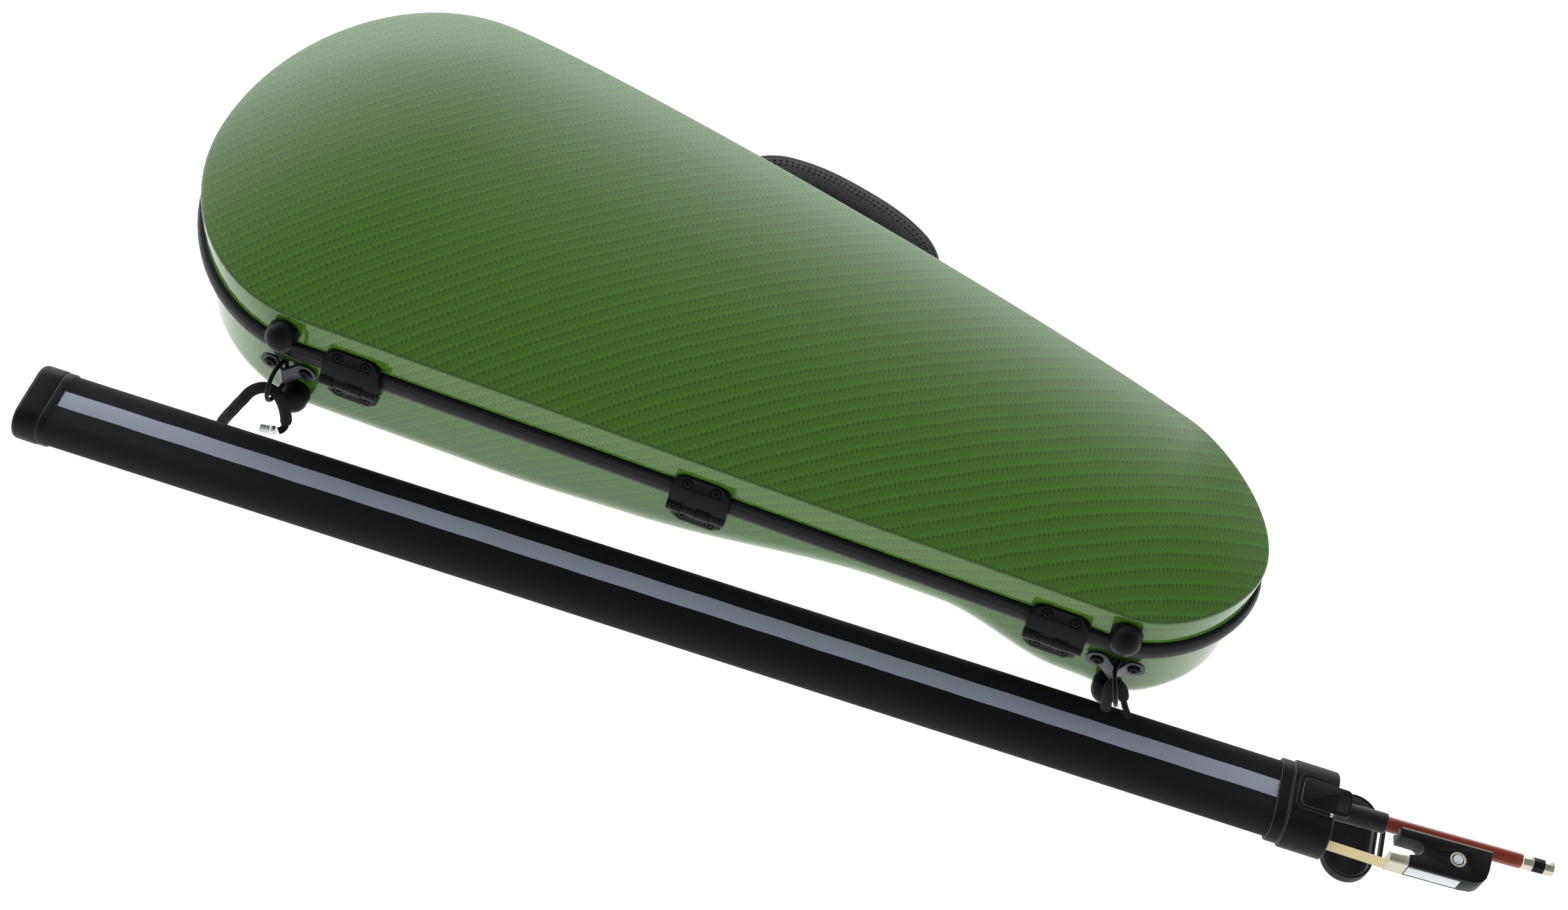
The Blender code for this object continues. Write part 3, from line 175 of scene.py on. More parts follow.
# ---------------------------------------------------------------- materials
def composite_material():
    """2/2 twill cloth under a thick clear coat. The UV map holds distances over the surface in metres."""
    mat, g, bsdf = new_material("woven_composite")
    uv = g.node("ShaderNodeUVMap", uv_map="cloth").outputs[0]
    # a little waviness of the tows
    wob = g.noise(uv, 18.0, 2.0, out="Color")
    w = g.xyz(wob)
    x, y, _ = g.xyz(uv)
    x = g.math("ADD", x, g.math("MULTIPLY", g.math("SUBTRACT", w[0], 0.5), 0.0035))
    y = g.math("ADD", y, g.math("MULTIPLY", g.math("SUBTRACT", w[1], 0.5), 0.0035))
    # the cloth shears towards the narrow end
    dx = g.math("ADD", x, 0.20)
    lean = g.math("MULTIPLY", g.math("MULTIPLY", dx, dx), -0.62)
    tow = 0.00232
    s = g.math("DIVIDE", x, tow)
    t = g.math("DIVIDE", g.math("SUBTRACT", y, lean), tow)
    i, j = g.math("FLOOR", s), g.math("FLOOR", t)
    fs, ft = g.math("SUBTRACT", s, i), g.math("SUBTRACT", t, j)
    m = g.math("FLOORED_MODULO", g.math("SUBTRACT", i, j), 4.0)
    warp = g.math("LESS_THAN", m, 1.5)

    def crown(v):          # 0 at the ends, 1 in the middle
        a = g.math("SUBTRACT", g.math("MULTIPLY", v, 2.0), 1.0)
        return g.math("SUBTRACT", 1.0, g.math("MULTIPLY", a, a))

    p = g.math("DIVIDE", g.math("FLOORED_MODULO", g.math("ADD", g.math("SUBTRACT", t, i), 1.0), 4.0), 2.0)
    q = g.math("DIVIDE", g.math("FLOORED_MODULO", g.math("SUBTRACT", g.math("SUBTRACT", s, j), 2.0), 4.0), 2.0)
    hw = g.math("MULTIPLY", g.math("POWER", g.math("MAXIMUM", crown(p), 0.0), 0.6), g.math("POWER", crown(fs), 0.5))
    hf = g.math("MULTIPLY", g.math("POWER", g.math("MAXIMUM", crown(q), 0.0), 0.6), g.math("POWER", crown(ft), 0.5))
    n = g.node("ShaderNodeMix", data_type="FLOAT")
    g.put(n.inputs[0], warp)
    g.put(n.inputs[2], hf)
    g.put(n.inputs[3], hw)
    height = n.outputs[0]
    # filaments run along each tow
    fine_w = g.noise(g.vec(g.math("MULTIPLY", x, 14.0), y), 420.0, 2.0, 0.7)
    fine_f = g.noise(g.vec(x, g.math("MULTIPLY", y, 14.0)), 420.0, 2.0, 0.7)
    n = g.node("ShaderNodeMix", data_type="FLOAT")
    g.put(n.inputs[0], warp)
    g.put(n.inputs[2], fine_f)
    g.put(n.inputs[3], fine_w)
    fine = n.outputs[0]
    # painted highlight: the weft floats get a lighter green than the warp floats, standing in for the sheen along the
    # cross tows
    weft_colour = g.ramp(fine, [(0.3, (0.052, 0.180, 0.009)), (0.7, (0.092, 0.285, 0.020))])
    warp_colour = g.ramp(fine, [(0.3, (0.050, 0.152, 0.008)), (0.7, (0.080, 0.220, 0.016))])
    cloth = g.mix(warp, weft_colour, warp_colour)
    # darker where the tows dip low: partly the resin's own colour, partly painted shade in the dips
    resin_and_dip_shade = g.remap(height, 0.05, 0.75, 1.0, 0.0, "SMOOTHSTEP")
    cloth = g.mix(g.math("MULTIPLY", resin_and_dip_shade, 0.26), cloth, (0.012, 0.045, 0.003))
    # each float dips under at its far end: a dark dot there, partly the resin's own colour and partly painted shade
    mottle = g.noise(uv, 520.0, 2.0, 0.6)
    end = g.remap(g.math("ADD", q, g.math("MULTIPLY", g.math("SUBTRACT", mottle, 0.5), 0.12)), 0.60, 0.86, 0.0, 1.0, "SMOOTHSTEP")
    dot = g.math("MULTIPLY", g.math("MULTIPLY", end, g.remap(crown(ft), 0.1, 0.75, 0.0, 1.0, "SMOOTHSTEP")), g.math("SUBTRACT", 1.0, warp))
    cloth = g.mix(g.math("MULTIPLY", dot, 0.72), cloth, (0.010, 0.036, 0.003))
    cloth = g.mix(g.remap(mottle, 0.3, 0.7, 0.0, 0.35), cloth, (0.050, 0.130, 0.010))
    patch = g.noise(uv, 6.0, 3.0, 0.55)
    cloth = g.mix(g.remap(patch, 0.35, 0.7, 0.0, 0.16), cloth, (0.075, 0.190, 0.012))
    # painted reflection: a dark line along the bend of the lid's edge, standing in for the dark surroundings that the
    # fillet reflects
    facing = g.xyz(coords(g, "Normal"))[2]
    height_here = g.xyz(coords(g))[2]
    bend = g.math("MULTIPLY", g.remap(facing, 0.30, 0.55, 0.0, 1.0, "SMOOTHSTEP"), g.remap(facing, 0.80, 0.95, 1.0, 0.0, "SMOOTHSTEP"))
    edge = g.math("MULTIPLY", bend, g.math("GREATER_THAN", height_here, 0.085))
    cloth = g.mix(g.math("MULTIPLY", edge, 0.70), cloth, (0.018, 0.060, 0.004))
    g.link(cloth, bsdf.inputs["Base Color"])
    bsdf.inputs["Roughness"].default_value = 0.55
    bsdf.inputs["Specular IOR Level"].default_value = 0.08
    bsdf.inputs["Coat Weight"].default_value = 1.0
    bsdf.inputs["Coat Roughness"].default_value = 0.02
    bsdf.inputs["Coat IOR"].default_value = 1.54
    g.link(g.bump(height, 0.25, 0.0002), bsdf.inputs["Normal"])
    orange = g.noise(uv, 55.0, 1.0, 0.4)
    g.link(g.bump(orange, 0.05, 0.0004), bsdf.inputs["Coat Normal"])
    return mat


def plain_material(name, colour, rough, scale=900.0, bump=0.15, distance=0.0001, metallic=0.0, spread=0.25, coat=0.0, spec=0.5, fine_rough=0.12, sheen=0.0):
    """Moulded or coated surface with fine grain, uneven tone and uneven gloss."""
    mat, g, bsdf = new_material(name)
    obj = coords(g)
    grain = g.noise(obj, scale, 3.0, 0.6)
    cloud = g.noise(obj, 35.0, 3.0, 0.5)
    dark = tuple(c * (1 - spread) for c in colour)
    light = tuple(min(c * (1 + spread), 1) for c in colour)
    g.link(g.mix(g.remap(cloud, 0.3, 0.7), dark, light), bsdf.inputs["Base Color"])
    g.link(g.remap(cloud, 0.25, 0.75, rough - fine_rough / 2, rough + fine_rough / 2), bsdf.inputs["Roughness"])
    bsdf.inputs["Metallic"].default_value = metallic
    bsdf.inputs["Specular IOR Level"].default_value = spec
    if coat:
        bsdf.inputs["Coat Weight"].default_value = coat
        bsdf.inputs["Coat Roughness"].default_value = 0.25
    if sheen:
        bsdf.inputs["Sheen Weight"].default_value = sheen
        bsdf.inputs["Sheen Roughness"].default_value = 0.4
    g.link(g.bump(grain, bump, distance), bsdf.inputs["Normal"])
    return mat


def woven_material(name, colour, pitch, rough=0.8, spec=0.2, bump=0.5, distance=0.0001, spread=0.3, across=1.0):
    """Plain-woven cloth. The UV map holds metres along and across."""
    mat, g, bsdf = new_material(name)
    uv = g.node("ShaderNodeUVMap", uv_map="cloth").outputs[0]
    x, y, _ = g.xyz(uv)
    wob = g.xyz(g.noise(uv, 60.0, 2.0, out="Color"))
    s = g.math("DIVIDE", g.math("ADD", x, g.math("MULTIPLY", wob[0], pitch * 0.6)), pitch)
    t = g.math("DIVIDE", g.math("ADD", y, g.math("MULTIPLY", wob[1], pitch * 0.6)), pitch * across)
    i, j = g.math("FLOOR", s), g.math("FLOOR", t)
    over = g.math("FLOORED_MODULO", g.math("ADD", i, j), 2.0)
    cs = g.math("ABSOLUTE", g.math("SINE", g.math("MULTIPLY", s, math.pi)))
    ct = g.math("ABSOLUTE", g.math("SINE", g.math("MULTIPLY", t, math.pi)))
    a = g.math("MULTIPLY", g.math("POWER", ct, 0.6), g.math("ADD", 0.35, g.math("MULTIPLY", cs, 0.65)))
    b = g.math("MULTIPLY", g.math("POWER", cs, 0.6), g.math("ADD", 0.35, g.math("MULTIPLY", ct, 0.65)))
    n = g.node("ShaderNodeMix", data_type="FLOAT")
    g.put(n.inputs[0], over)
    g.put(n.inputs[2], a)
    g.put(n.inputs[3], b)
    height = n.outputs[0]
    cloud = g.noise(uv, 25.0, 3.0, 0.5)
    tone = g.mix(g.remap(cloud, 0.3, 0.7), tuple(c * (1 - spread) for c in colour), tuple(c * (1 + spread) for c in colour))
    # painted shade: darker in the dips between the yarns
    tone = g.mix(g.remap(height, 0.1, 0.7, 0.75, 0.0), tone, tuple(c * 0.25 for c in colour))
    g.link(tone, bsdf.inputs["Base Color"])
    g.link(g.remap(cloud, 0.3, 0.7, rough - 0.06, rough + 0.06), bsdf.inputs["Roughness"])
    bsdf.inputs["Specular IOR Level"].default_value = spec
    g.link(g.bump(height, bump, distance), bsdf.inputs["Normal"])
    return mat


def leather_material(name, colour, rough=0.5, scale=620.0, spec=0.5):
    """Embossed leather: rounded pebbles with creases between them."""
    mat, g, bsdf = new_material(name)
    obj = coords(g)
    bend = g.node("ShaderNodeVectorMath", operation="MULTIPLY_ADD")
    g.link(g.noise(obj, 260.0, 2.0, out="Color"), bend.inputs[0])
    bend.inputs[1].default_value = (0.0016, 0.0016, 0.0016)
    g.link(obj, bend.inputs[2])
    cells = g.node("ShaderNodeTexVoronoi", feature="DISTANCE_TO_EDGE")
    g.link(bend.outputs[0], cells.inputs["Vector"])
    cells.inputs["Scale"].default_value = scale
    crease = g.remap(cells.outputs["Distance"], 0.0, 0.22, 0.0, 1.0, "SMOOTHSTEP")
    fine = g.noise(obj, 2600.0, 3.0, 0.6)
    height = g.math("ADD", crease, g.math("MULTIPLY", fine, 0.2))
    cloud = g.noise(obj, 40.0, 3.0)
    tone = g.mix(g.remap(cloud, 0.3, 0.7), tuple(c * 0.8 for c in colour), tuple(c * 1.35 for c in colour))
    # painted shade: darker in the creases between the pebbles
    g.link(g.mix(g.remap(crease, 0.0, 1.0, 0.5, 0.0), tone, tuple(c * 0.3 for c in colour)), bsdf.inputs["Base Color"])
    g.link(g.remap(cloud, 0.25, 0.75, rough - 0.08, rough + 0.08), bsdf.inputs["Roughness"])
    bsdf.inputs["Specular IOR Level"].default_value = spec
    g.link(g.bump(height, 0.55, 0.00018), bsdf.inputs["Normal"])
    return mat


def streak_material(name, dark, light, rough, scale=(30.0, 1600.0), bump=0.3, distance=0.00008, spec=0.5, coat=0.0, metallic=0.0):
    """Wood grain or strands that run along the first axis of the UV map."""
    mat, g, bsdf = new_material(name)
    uv = g.node("ShaderNodeUVMap", uv_map="cloth").outputs[0]
    x, y, _ = g.xyz(uv)
    stretched = g.vec(g.math("MULTIPLY", x, scale[0]), g.math("MULTIPLY", y, scale[1]))
    fine = g.noise(stretched, 1.0, 4.0, 0.65)
    broad = g.noise(g.vec(g.math("MULTIPLY", x, scale[0] * 0.5), g.math("MULTIPLY", y, scale[1] * 0.15)), 1.0, 3.0, 0.5)
    value = g.math("ADD", g.math("MULTIPLY", fine, 0.65), g.math("MULTIPLY", broad, 0.35))
    g.link(g.mix(g.remap(value, 0.32, 0.68), dark, light), bsdf.inputs["Base Color"])
    g.link(g.remap(fine, 0.3, 0.7, rough + 0.05, rough - 0.05), bsdf.inputs["Roughness"])
    bsdf.inputs["Specular IOR Level"].default_value = spec
    bsdf.inputs["Metallic"].default_value = metallic
    if coat:
        bsdf.inputs["Coat Weight"].default_value = coat
        bsdf.inputs["Coat Roughness"].default_value = 0.12
    g.link(g.bump(fine, bump, distance), bsdf.inputs["Normal"])
    return mat


def pearl_material():
    mat, g, bsdf = new_material("pearl")
    obj = coords(g)
    swirl = g.noise(obj, 420.0, 3.0, 0.6)
    g.link(g.ramp(swirl, [(0.3, (0.62, 0.74, 0.80)), (0.5, (0.80, 0.84, 0.84)), (0.62, (0.70, 0.82, 0.90)), (0.75, (0.88, 0.86, 0.88))]), bsdf.inputs["Base Color"])
    g.link(g.remap(swirl, 0.3, 0.7, 0.18, 0.3), bsdf.inputs["Roughness"])
    bsdf.inputs["Sheen Weight"].default_value = 0.1
    g.link(g.bump(swirl, 0.05, 0.0001), bsdf.inputs["Normal"])
    return mat


COMPOSITE = composite_material()
RUBBER = plain_material("seam_rubber", (0.0036, 0.0040, 0.0062), 0.40, 1400, 0.10, 0.00004, spec=0.16)
FOOT = plain_material("foot_rubber", (0.0030, 0.0033, 0.0046), 0.36, 1400, 0.08, 0.00004, spec=0.14)
BLACK = plain_material("black_coated_metal", (0.0028, 0.0031, 0.0044), 0.33, 2600, 0.10, 0.00003, spec=0.13)
GREY = plain_material("gunmetal_plate", (0.070, 0.074, 0.090), 0.36, 3000, 0.10, 0.00003, metallic=0.85)
PLASTIC = plain_material("moulded_plastic", (0.0046, 0.0046, 0.0064), 0.42, 1800, 0.2, 0.00004, spec=0.18)
NYLON = woven_material("nylon_cloth", (0.0080, 0.0084, 0.0112), 0.00085, 0.70, 0.22, 0.75, 0.00022)
BRAID = woven_material("braided_nylon", (0.0050, 0.0050, 0.0058), 0.0009, 0.85, 0.15, 0.9, 0.0003)
WEBBING = woven_material("woven_strap", (0.0070, 0.0070, 0.0080), 0.0011, 0.8, 0.2, 0.8, 0.0003)
TAPE = woven_material("reflective_tape", (0.49, 0.53, 0.65), 0.0005, 0.50, 0.4, 0.10, 0.00003, spread=0.03)
PLUSH = plain_material("plush", (0.022, 0.023, 0.029), 0.95, 2500, 0.9, 0.0005, spec=0.2, sheen=0.6)
LEATHER = leather_material("handle_leather", (0.0048, 0.0052, 0.0072), 0.44, 560.0, 0.3)
GRIP = leather_material("grip_leather", (0.0050, 0.0052, 0.0064), 0.42, 900.0, 0.26)
THREAD = plain_material("stitching_thread", (0.018, 0.018, 0.02), 0.6, 3000, 0.4, 0.0001)
WOOD = streak_material("bow_wood", (0.165, 0.018, 0.007), (0.30, 0.040, 0.013), 0.26, (25.0, 1300.0), 0.05, 0.00004, spec=0.2, coat=0.35)
EBONY = plain_material("frog_ebony", (0.0070, 0.0064, 0.0066), 0.36, 700, 0.06, 0.00004, spec=0.15)
SILVER = plain_material("frog_silver", (0.60, 0.555, 0.455), 0.24, 900, 0.03, 0.00006, metallic=1.0, spread=0.05)
HAIR = streak_material("bow_hair", (0.52, 0.40, 0.16), (0.92, 0.80, 0.46), 0.45, (18.0, 5200.0), 0.35, 0.00012, spec=0.3)
PEARL = pearl_material()
ZINC = plain_material("bright_zinc", (0.66, 0.70, 0.74), 0.20, 900, 0.05, 0.0001, metallic=1.0, spread=0.1)

by_slot = {"green_composite": COMPOSITE, "black_rubber": RUBBER, "black_metal": BLACK, "grey_metal": GREY, "black_plastic": PLASTIC,
           "black_nylon": BRAID, "plush_lining": PLUSH, "black_leather": LEATHER, "bow_wood": WOOD, "ebony": EBONY, "silver": SILVER,
           "bow_hair": HAIR, "zinc": ZINC, "grey_tape": TAPE}
slot_of = {part["node"]: part["material_slot"] for part in frame["record"]["subparts"]}
for node_name, slot_name in slot_of.items():
    obj = nodes[node_name]
    obj.data.materials.clear()
    obj.data.materials.append(by_slot[slot_name])


# ---------------------------------------------------------------- mesh helpers
def add(name, data, mat, body, replaces=(), smooth=True, sharp=40, weld=True, raw=True, see=True):
    """A piece from (points, faces[, uv per point]). Points are drawing millimetres when raw, else metres."""
    verts, faces = data[0], data[1]
    mesh = bpy.data.meshes.new(name)
    mesh.from_pydata([tuple(place(v)) if raw else tuple(v) for v in verts], [], [tuple(f) for f in faces])
    if len(data) > 2:
        layer = mesh.uv_layers.new(name="cloth")
        layer.data.foreach_set("uv", np.array([data[2][l.vertex_index] for l in mesh.loops], float).ravel())
    work = bmesh.new()
    work.from_mesh(mesh)
    if weld:
        bmesh.ops.remove_doubles(work, verts=work.verts, dist=1e-7)
    bmesh.ops.recalc_face_normals(work, faces=work.faces)
    if work.calc_volume(signed=True) < 0:
        bmesh.ops.reverse_faces(work, faces=work.faces)
    work.to_mesh(mesh)
    work.free()
    if smooth:
        mesh.shade_smooth()
        if sharp:
            mesh.set_sharp_from_angle(angle=math.radians(sharp))
    obj = bpy.data.objects.new(name, mesh)
    bpy.context.scene.collection.objects.link(obj)
    mesh.materials.append(mat)
    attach(obj, body)
    if replaces:
        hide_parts(*([replaces] if isinstance(replaces, str) else replaces))
    if not see:
        obj.visible_glossy = False
    return obj


class Frame:
    """A local frame: a, b and c along its axes, in millimetres."""

    def __init__(self, o, a, b, c):
        self.o, self.a, self.b, self.c = Vector(o), Vector(a).normalized(), Vector(b).normalized(), Vector(c).normalized()

    def __call__(self, a, b, c):
        return self.o + self.a * a + self.b * b + self.c * c


def at(frame_, axis, u, v, w):
    if axis == "a":
        return frame_(w, u, v)
    if axis == "b":
        return frame_(u, w, v)
    return frame_(u, v, w)


def prism(frame_, outline, lo, hi, axis="c"):
    n = len(outline)
    verts = [at(frame_, axis, u, v, lo) for u, v in outline] + [at(frame_, axis, u, v, hi) for u, v in outline]
    faces = [list(range(n))[::-1], list(range(n, 2 * n))] + [[k, (k + 1) % n, n + (k + 1) % n, n + k] for k in range(n)]
    return verts, faces


def lathe(frame_, profile, axis="b", count=40, centre=(0, 0), lobes=None):
    """Turned shape about an axis through centre. profile is (along, radius), closed at zero radius."""
    verts, faces, rings = [], [], []
    for w, r in profile:
        if r <= 1e-9:
            rings.append([len(verts)])
            verts.append(at(frame_, axis, centre[0], centre[1], w))
        else:
            rings.append(list(range(len(verts), len(verts) + count)))
            for k in range(count):
                t = 2 * math.pi * k / count
                q = r * (lobes(t, w) if lobes else 1)
                verts.append(at(frame_, axis, centre[0] + q * math.cos(t), centre[1] + q * math.sin(t), w))
    for a, b in zip(rings, rings[1:]):
        for k in range(count):
            l = (k + 1) % count
            if len(a) == 1 and len(b) > 1:
                faces.append([a[0], b[k], b[l]])
            elif len(b) == 1 and len(a) > 1:
                faces.append([a[k], a[l], b[0]])
            elif len(a) > 1:
                faces.append([a[k], a[l], b[l], b[k]])
    return verts, faces


def rod(frame_, centre, r, lo, hi, axis="a", count=32):
    return lathe(frame_, [(lo, 0), (lo, r), (hi, r), (hi, 0)], axis, count, centre)


def rounded(u0, u1, v0, v1, r, steps=6):
    out = []
    for cx, cy, start in ((u1 - r, v0 + r, -90), (u1 - r, v1 - r, 0), (u0 + r, v1 - r, 90), (u0 + r, v0 + r, 180)):
        for i in range(steps + 1):
            t = math.radians(start + 90 * i / steps)
            out.append((cx + r * math.cos(t), cy + r * math.sin(t)))
    return out


def circle(r, count=32, centre=(0, 0)):
    return [(centre[0] + r * math.cos(2 * math.pi * i / count), centre[1] + r * math.sin(2 * math.pi * i / count)) for i in range(count)]


def route(points, count):
    """Smooth curve through the points, evenly spaced."""
    pts = [Vector(p) for p in points]
    pts = [2 * pts[0] - pts[1]] + pts + [2 * pts[-1] - pts[-2]]
    dense = []
    for k in range(len(pts) - 3):
        p0, p1, p2, p3 = pts[k:k + 4]
        for i in range(24):
            t = i / 24
            dense.append(0.5 * ((2 * p1) + (p2 - p0) * t + (2 * p0 - 5 * p1 + 4 * p2 - p3) * t * t + (3 * p1 - p0 - 3 * p2 + p3) * t ** 3))
    dense.append(pts[-2])
    far = [0.0]
    for a, b in zip(dense, dense[1:]):
        far.append(far[-1] + (b - a).length)
    out, k = [], 0
    for i in range(count):
        want = far[-1] * i / (count - 1)
        while k < len(far) - 2 and far[k + 1] < want:
            k += 1
        out.append(dense[k].lerp(dense[k + 1], (want - far[k]) / max(far[k + 1] - far[k], 1e-9)))
    return out


def sweep(points, radius, cyclic=False, sides=20, squash=None):
    """Round tube along points, with distances over its surface as UVs. radius may be a function of (share, angle)."""
    n = len(points)
    tangents = []
    for i in range(n):
        a = points[i - 1] if (i or cyclic) else points[i]
        b = points[(i + 1) % n] if (i < n - 1 or cyclic) else points[i]
        tangents.append((b - a).normalized())
    side = tangents[0].orthogonal().normalized()
    verts, faces, uv, far = [], [], [], 0.0
    for i, (p, t) in enumerate(zip(points, tangents)):
        side = (side - t * side.dot(t)).normalized()
        other = t.cross(side)
        if i:
            far += (p - points[i - 1]).length
        for k in range(sides):
            ang = 2 * math.pi * k / sides
            r = radius(i / max(n - 1, 1), ang) if callable(radius) else radius
            verts.append(p + side * (r * math.cos(ang)) + other * (r * math.sin(ang)))
            uv.append((far / 1000, (r if not callable(radius) else 3.0) * 2 * math.pi * k / sides / 1000))
    for i in range(n if cyclic else n - 1):
        j = (i + 1) % n
        for k in range(sides):
            l = (k + 1) % sides
            faces.append([i * sides + k, i * sides + l, j * sides + l, j * sides + k])
    if not cyclic:
        faces.append(list(range(sides))[::-1])
        faces.append([(n - 1) * sides + k for k in range(sides)])
    return verts, faces, uv


def temporary(data, raw=True):
    mesh = bpy.data.meshes.new("temporary")
    mesh.from_pydata([tuple(place(v)) if raw else tuple(v) for v in data[0]], [], [tuple(f) for f in data[1]])
    work = bmesh.new()
    work.from_mesh(mesh)
    bmesh.ops.remove_doubles(work, verts=work.verts, dist=1e-7)
    bmesh.ops.recalc_face_normals(work, faces=work.faces)
    if work.calc_volume(signed=True) < 0:
        bmesh.ops.reverse_faces(work, faces=work.faces)
    work.to_mesh(mesh)
    work.free()
    obj = bpy.data.objects.new("temporary", mesh)
    bpy.context.scene.collection.objects.link(obj)
    return obj


def carve(base, unions=(), keep=(), cuts=(), bevel=0.0, segments=2, angle=30, raw=True):
    """Joins and cuts closed shapes, rounds the edges, and returns the result in metres."""
    obj = temporary(base, raw)
    made = [obj]
    for operation, group in (("UNION", unions), ("INTERSECT", keep), ("DIFFERENCE", cuts)):
        for data in group:
            other = temporary(data)
            made.append(other)
            m = obj.modifiers.new("join", "BOOLEAN")
            m.operation, m.object, m.solver = operation, other, "EXACT"
    if bevel:
        m = obj.modifiers.new("bevel", "BEVEL")
        m.width, m.segments = bevel / 1000, segments
        m.limit_method, m.angle_limit = "ANGLE", math.radians(angle)
        m.use_clamp_overlap = True
    bpy.context.view_layer.update()
    mesh = bpy.data.meshes.new_from_object(obj.evaluated_get(bpy.context.evaluated_depsgraph_get()))
    data = [v.co.copy() for v in mesh.vertices], [list(p.vertices) for p in mesh.polygons]
    bpy.data.meshes.remove(mesh)
    for item in made:
        old = item.data
        bpy.data.objects.remove(item, do_unlink=True)
        bpy.data.meshes.remove(old)
    return data


def metres(data):
    return [place(v) for v in data[0]], data[1]


def together(*groups):
    verts, faces = [], []
    for v, f in groups:
        faces += [[i + len(verts) for i in face] for face in f]
        verts += list(v)
    return verts, faces


def refine(node, mat=None, width=0.3, segments=2, angle=30, see=True):
    """Stands in for a CAD node with the same shape and rounded edges."""
    mesh = nodes[node].data
    work = bmesh.new()
    work.from_mesh(mesh)
    bmesh.ops.remove_doubles(work, verts=work.verts, dist=2e-6)
    bmesh.ops.dissolve_limit(work, angle_limit=math.radians(2.0), verts=work.verts, edges=work.edges)
    data = [v.co.copy() for v in work.verts], []
    work.verts.index_update()
    data = (data[0], [[v.index for v in f.verts] for f in work.faces])
    work.free()
    data = carve(data, bevel=width, segments=segments, angle=angle, raw=False)
    return add(node + "_fine", data, mat or by_slot[slot_of[node]], body_of[node], node, raw=False, see=see)


body_of = {}
for body_name, members in frame["record"]["behaviour"]["bodies"].items():
    for node_name in members:
        body_of[node_name] = body_name


# ---------------------------------------------------------------- outline of the case
def bezier(p0, p1, p2, p3, count=160):
    out = []
    for i in range(count):
        t = i / count
        out.append(Vector(p0) * (1 - t) ** 3 + Vector(p1) * 3 * (1 - t) ** 2 * t
                   + Vector(p2) * 3 * (1 - t) * t * t + Vector(p3) * t ** 3)
    return out


def case_outline():
    near_l, near_r = (-237, 0), (235, 0)
    right, far_r = (299.5, 63), (240, 139.5)
    top, left = (-222, 252), (-334.5, 111)
    slope = Vector((-1, 0.37)).normalized()
    pts = bezier(near_l, (-80, 0), (80, 0), near_r)
    pts += bezier(near_r, (265, 0), (299.5, 33), right)
    pts += bezier(right, (299.5, 99), Vector(far_r) - slope * 20, far_r)
    pts += bezier(far_r, Vector(far_r) + slope * 140, (-172, 252), top)
    pts += bezier(top, (-283, 252), (-334.5, 187), left)
    pts += bezier(left, (-334.5, 50), (-288, 0), near_l)
    return pts


OUTLINE = case_outline()


def hit(start, direction):
    best = None
    n = len(OUTLINE)
    for i in range(n):
        a, b = OUTLINE[i], OUTLINE[(i + 1) % n]
        e = b - a
        det = direction.x * -e.y + e.x * direction.y
        if abs(det) < 1e-12:
            continue
        w = a - start
        t = (w.x * -e.y + e.x * w.y) / det
        s = (direction.x * w.y - direction.y * w.x) / det
        if t > 0 and -1e-9 <= s < 1 and (best is None or t < best[0]):
            best = (t, i, s)
    t, i, s = best

    def normal(k):
        d = OUTLINE[(k + 1) % n] - OUTLINE[k - 1]
        return Vector((-d.y, d.x)).normalized()
    inward = (normal(i) * (1 - s) + normal((i + 1) % n) * s).normalized()
    return start + direction * t, inward


ALONG, AROUND_L, AROUND_R = 84, 44, 36


def build_stations():
    along = (SPINE_R - SPINE_L).normalized()
    across = Vector((along.y, -along.x))
    out = []
    for i in range(ALONG + 1):
        out.append((*hit(SPINE_L.lerp(SPINE_R, i / ALONG), across), i))
    for i in range(1, AROUND_R):
        t = math.pi * i / AROUND_R
        out.append((*hit(SPINE_R, across * math.cos(t) + along * math.sin(t)), ALONG))
    for i in range(ALONG, -1, -1):
        out.append((*hit(SPINE_L.lerp(SPINE_R, i / ALONG), -across), i))
    for i in range(1, AROUND_L):
        t = math.pi * i / AROUND_L
        out.append((*hit(SPINE_L, -across * math.cos(t) - along * math.sin(t)), 0))
    return out


STATIONS = build_stations()
SPINE = [SPINE_L.lerp(SPINE_R, i / ALONG) for i in range(ALONG + 1)]
COUNT = len(STATIONS)


def bottom(x):
    return WAIST_RISE * ramp((x + 40) / 150) * (1 - ramp((x - 140) / 75))


def corner(x):
    return 28 + 10 * ramp((x + 120) / 110) * (1 - ramp((x - 225) / 37))


def draft(x):
    return DRAFT * min(max((62 - corner(x) - bottom(x)) / 24, 0), 1)


def crown(x):
    t = (x - SPINE_L.x) / (SPINE_R.x - SPINE_L.x)
    return LID_CROWN[0] + (LID_CROWN[1] - LID_CROWN[0]) * min(max(t, 0), 1)


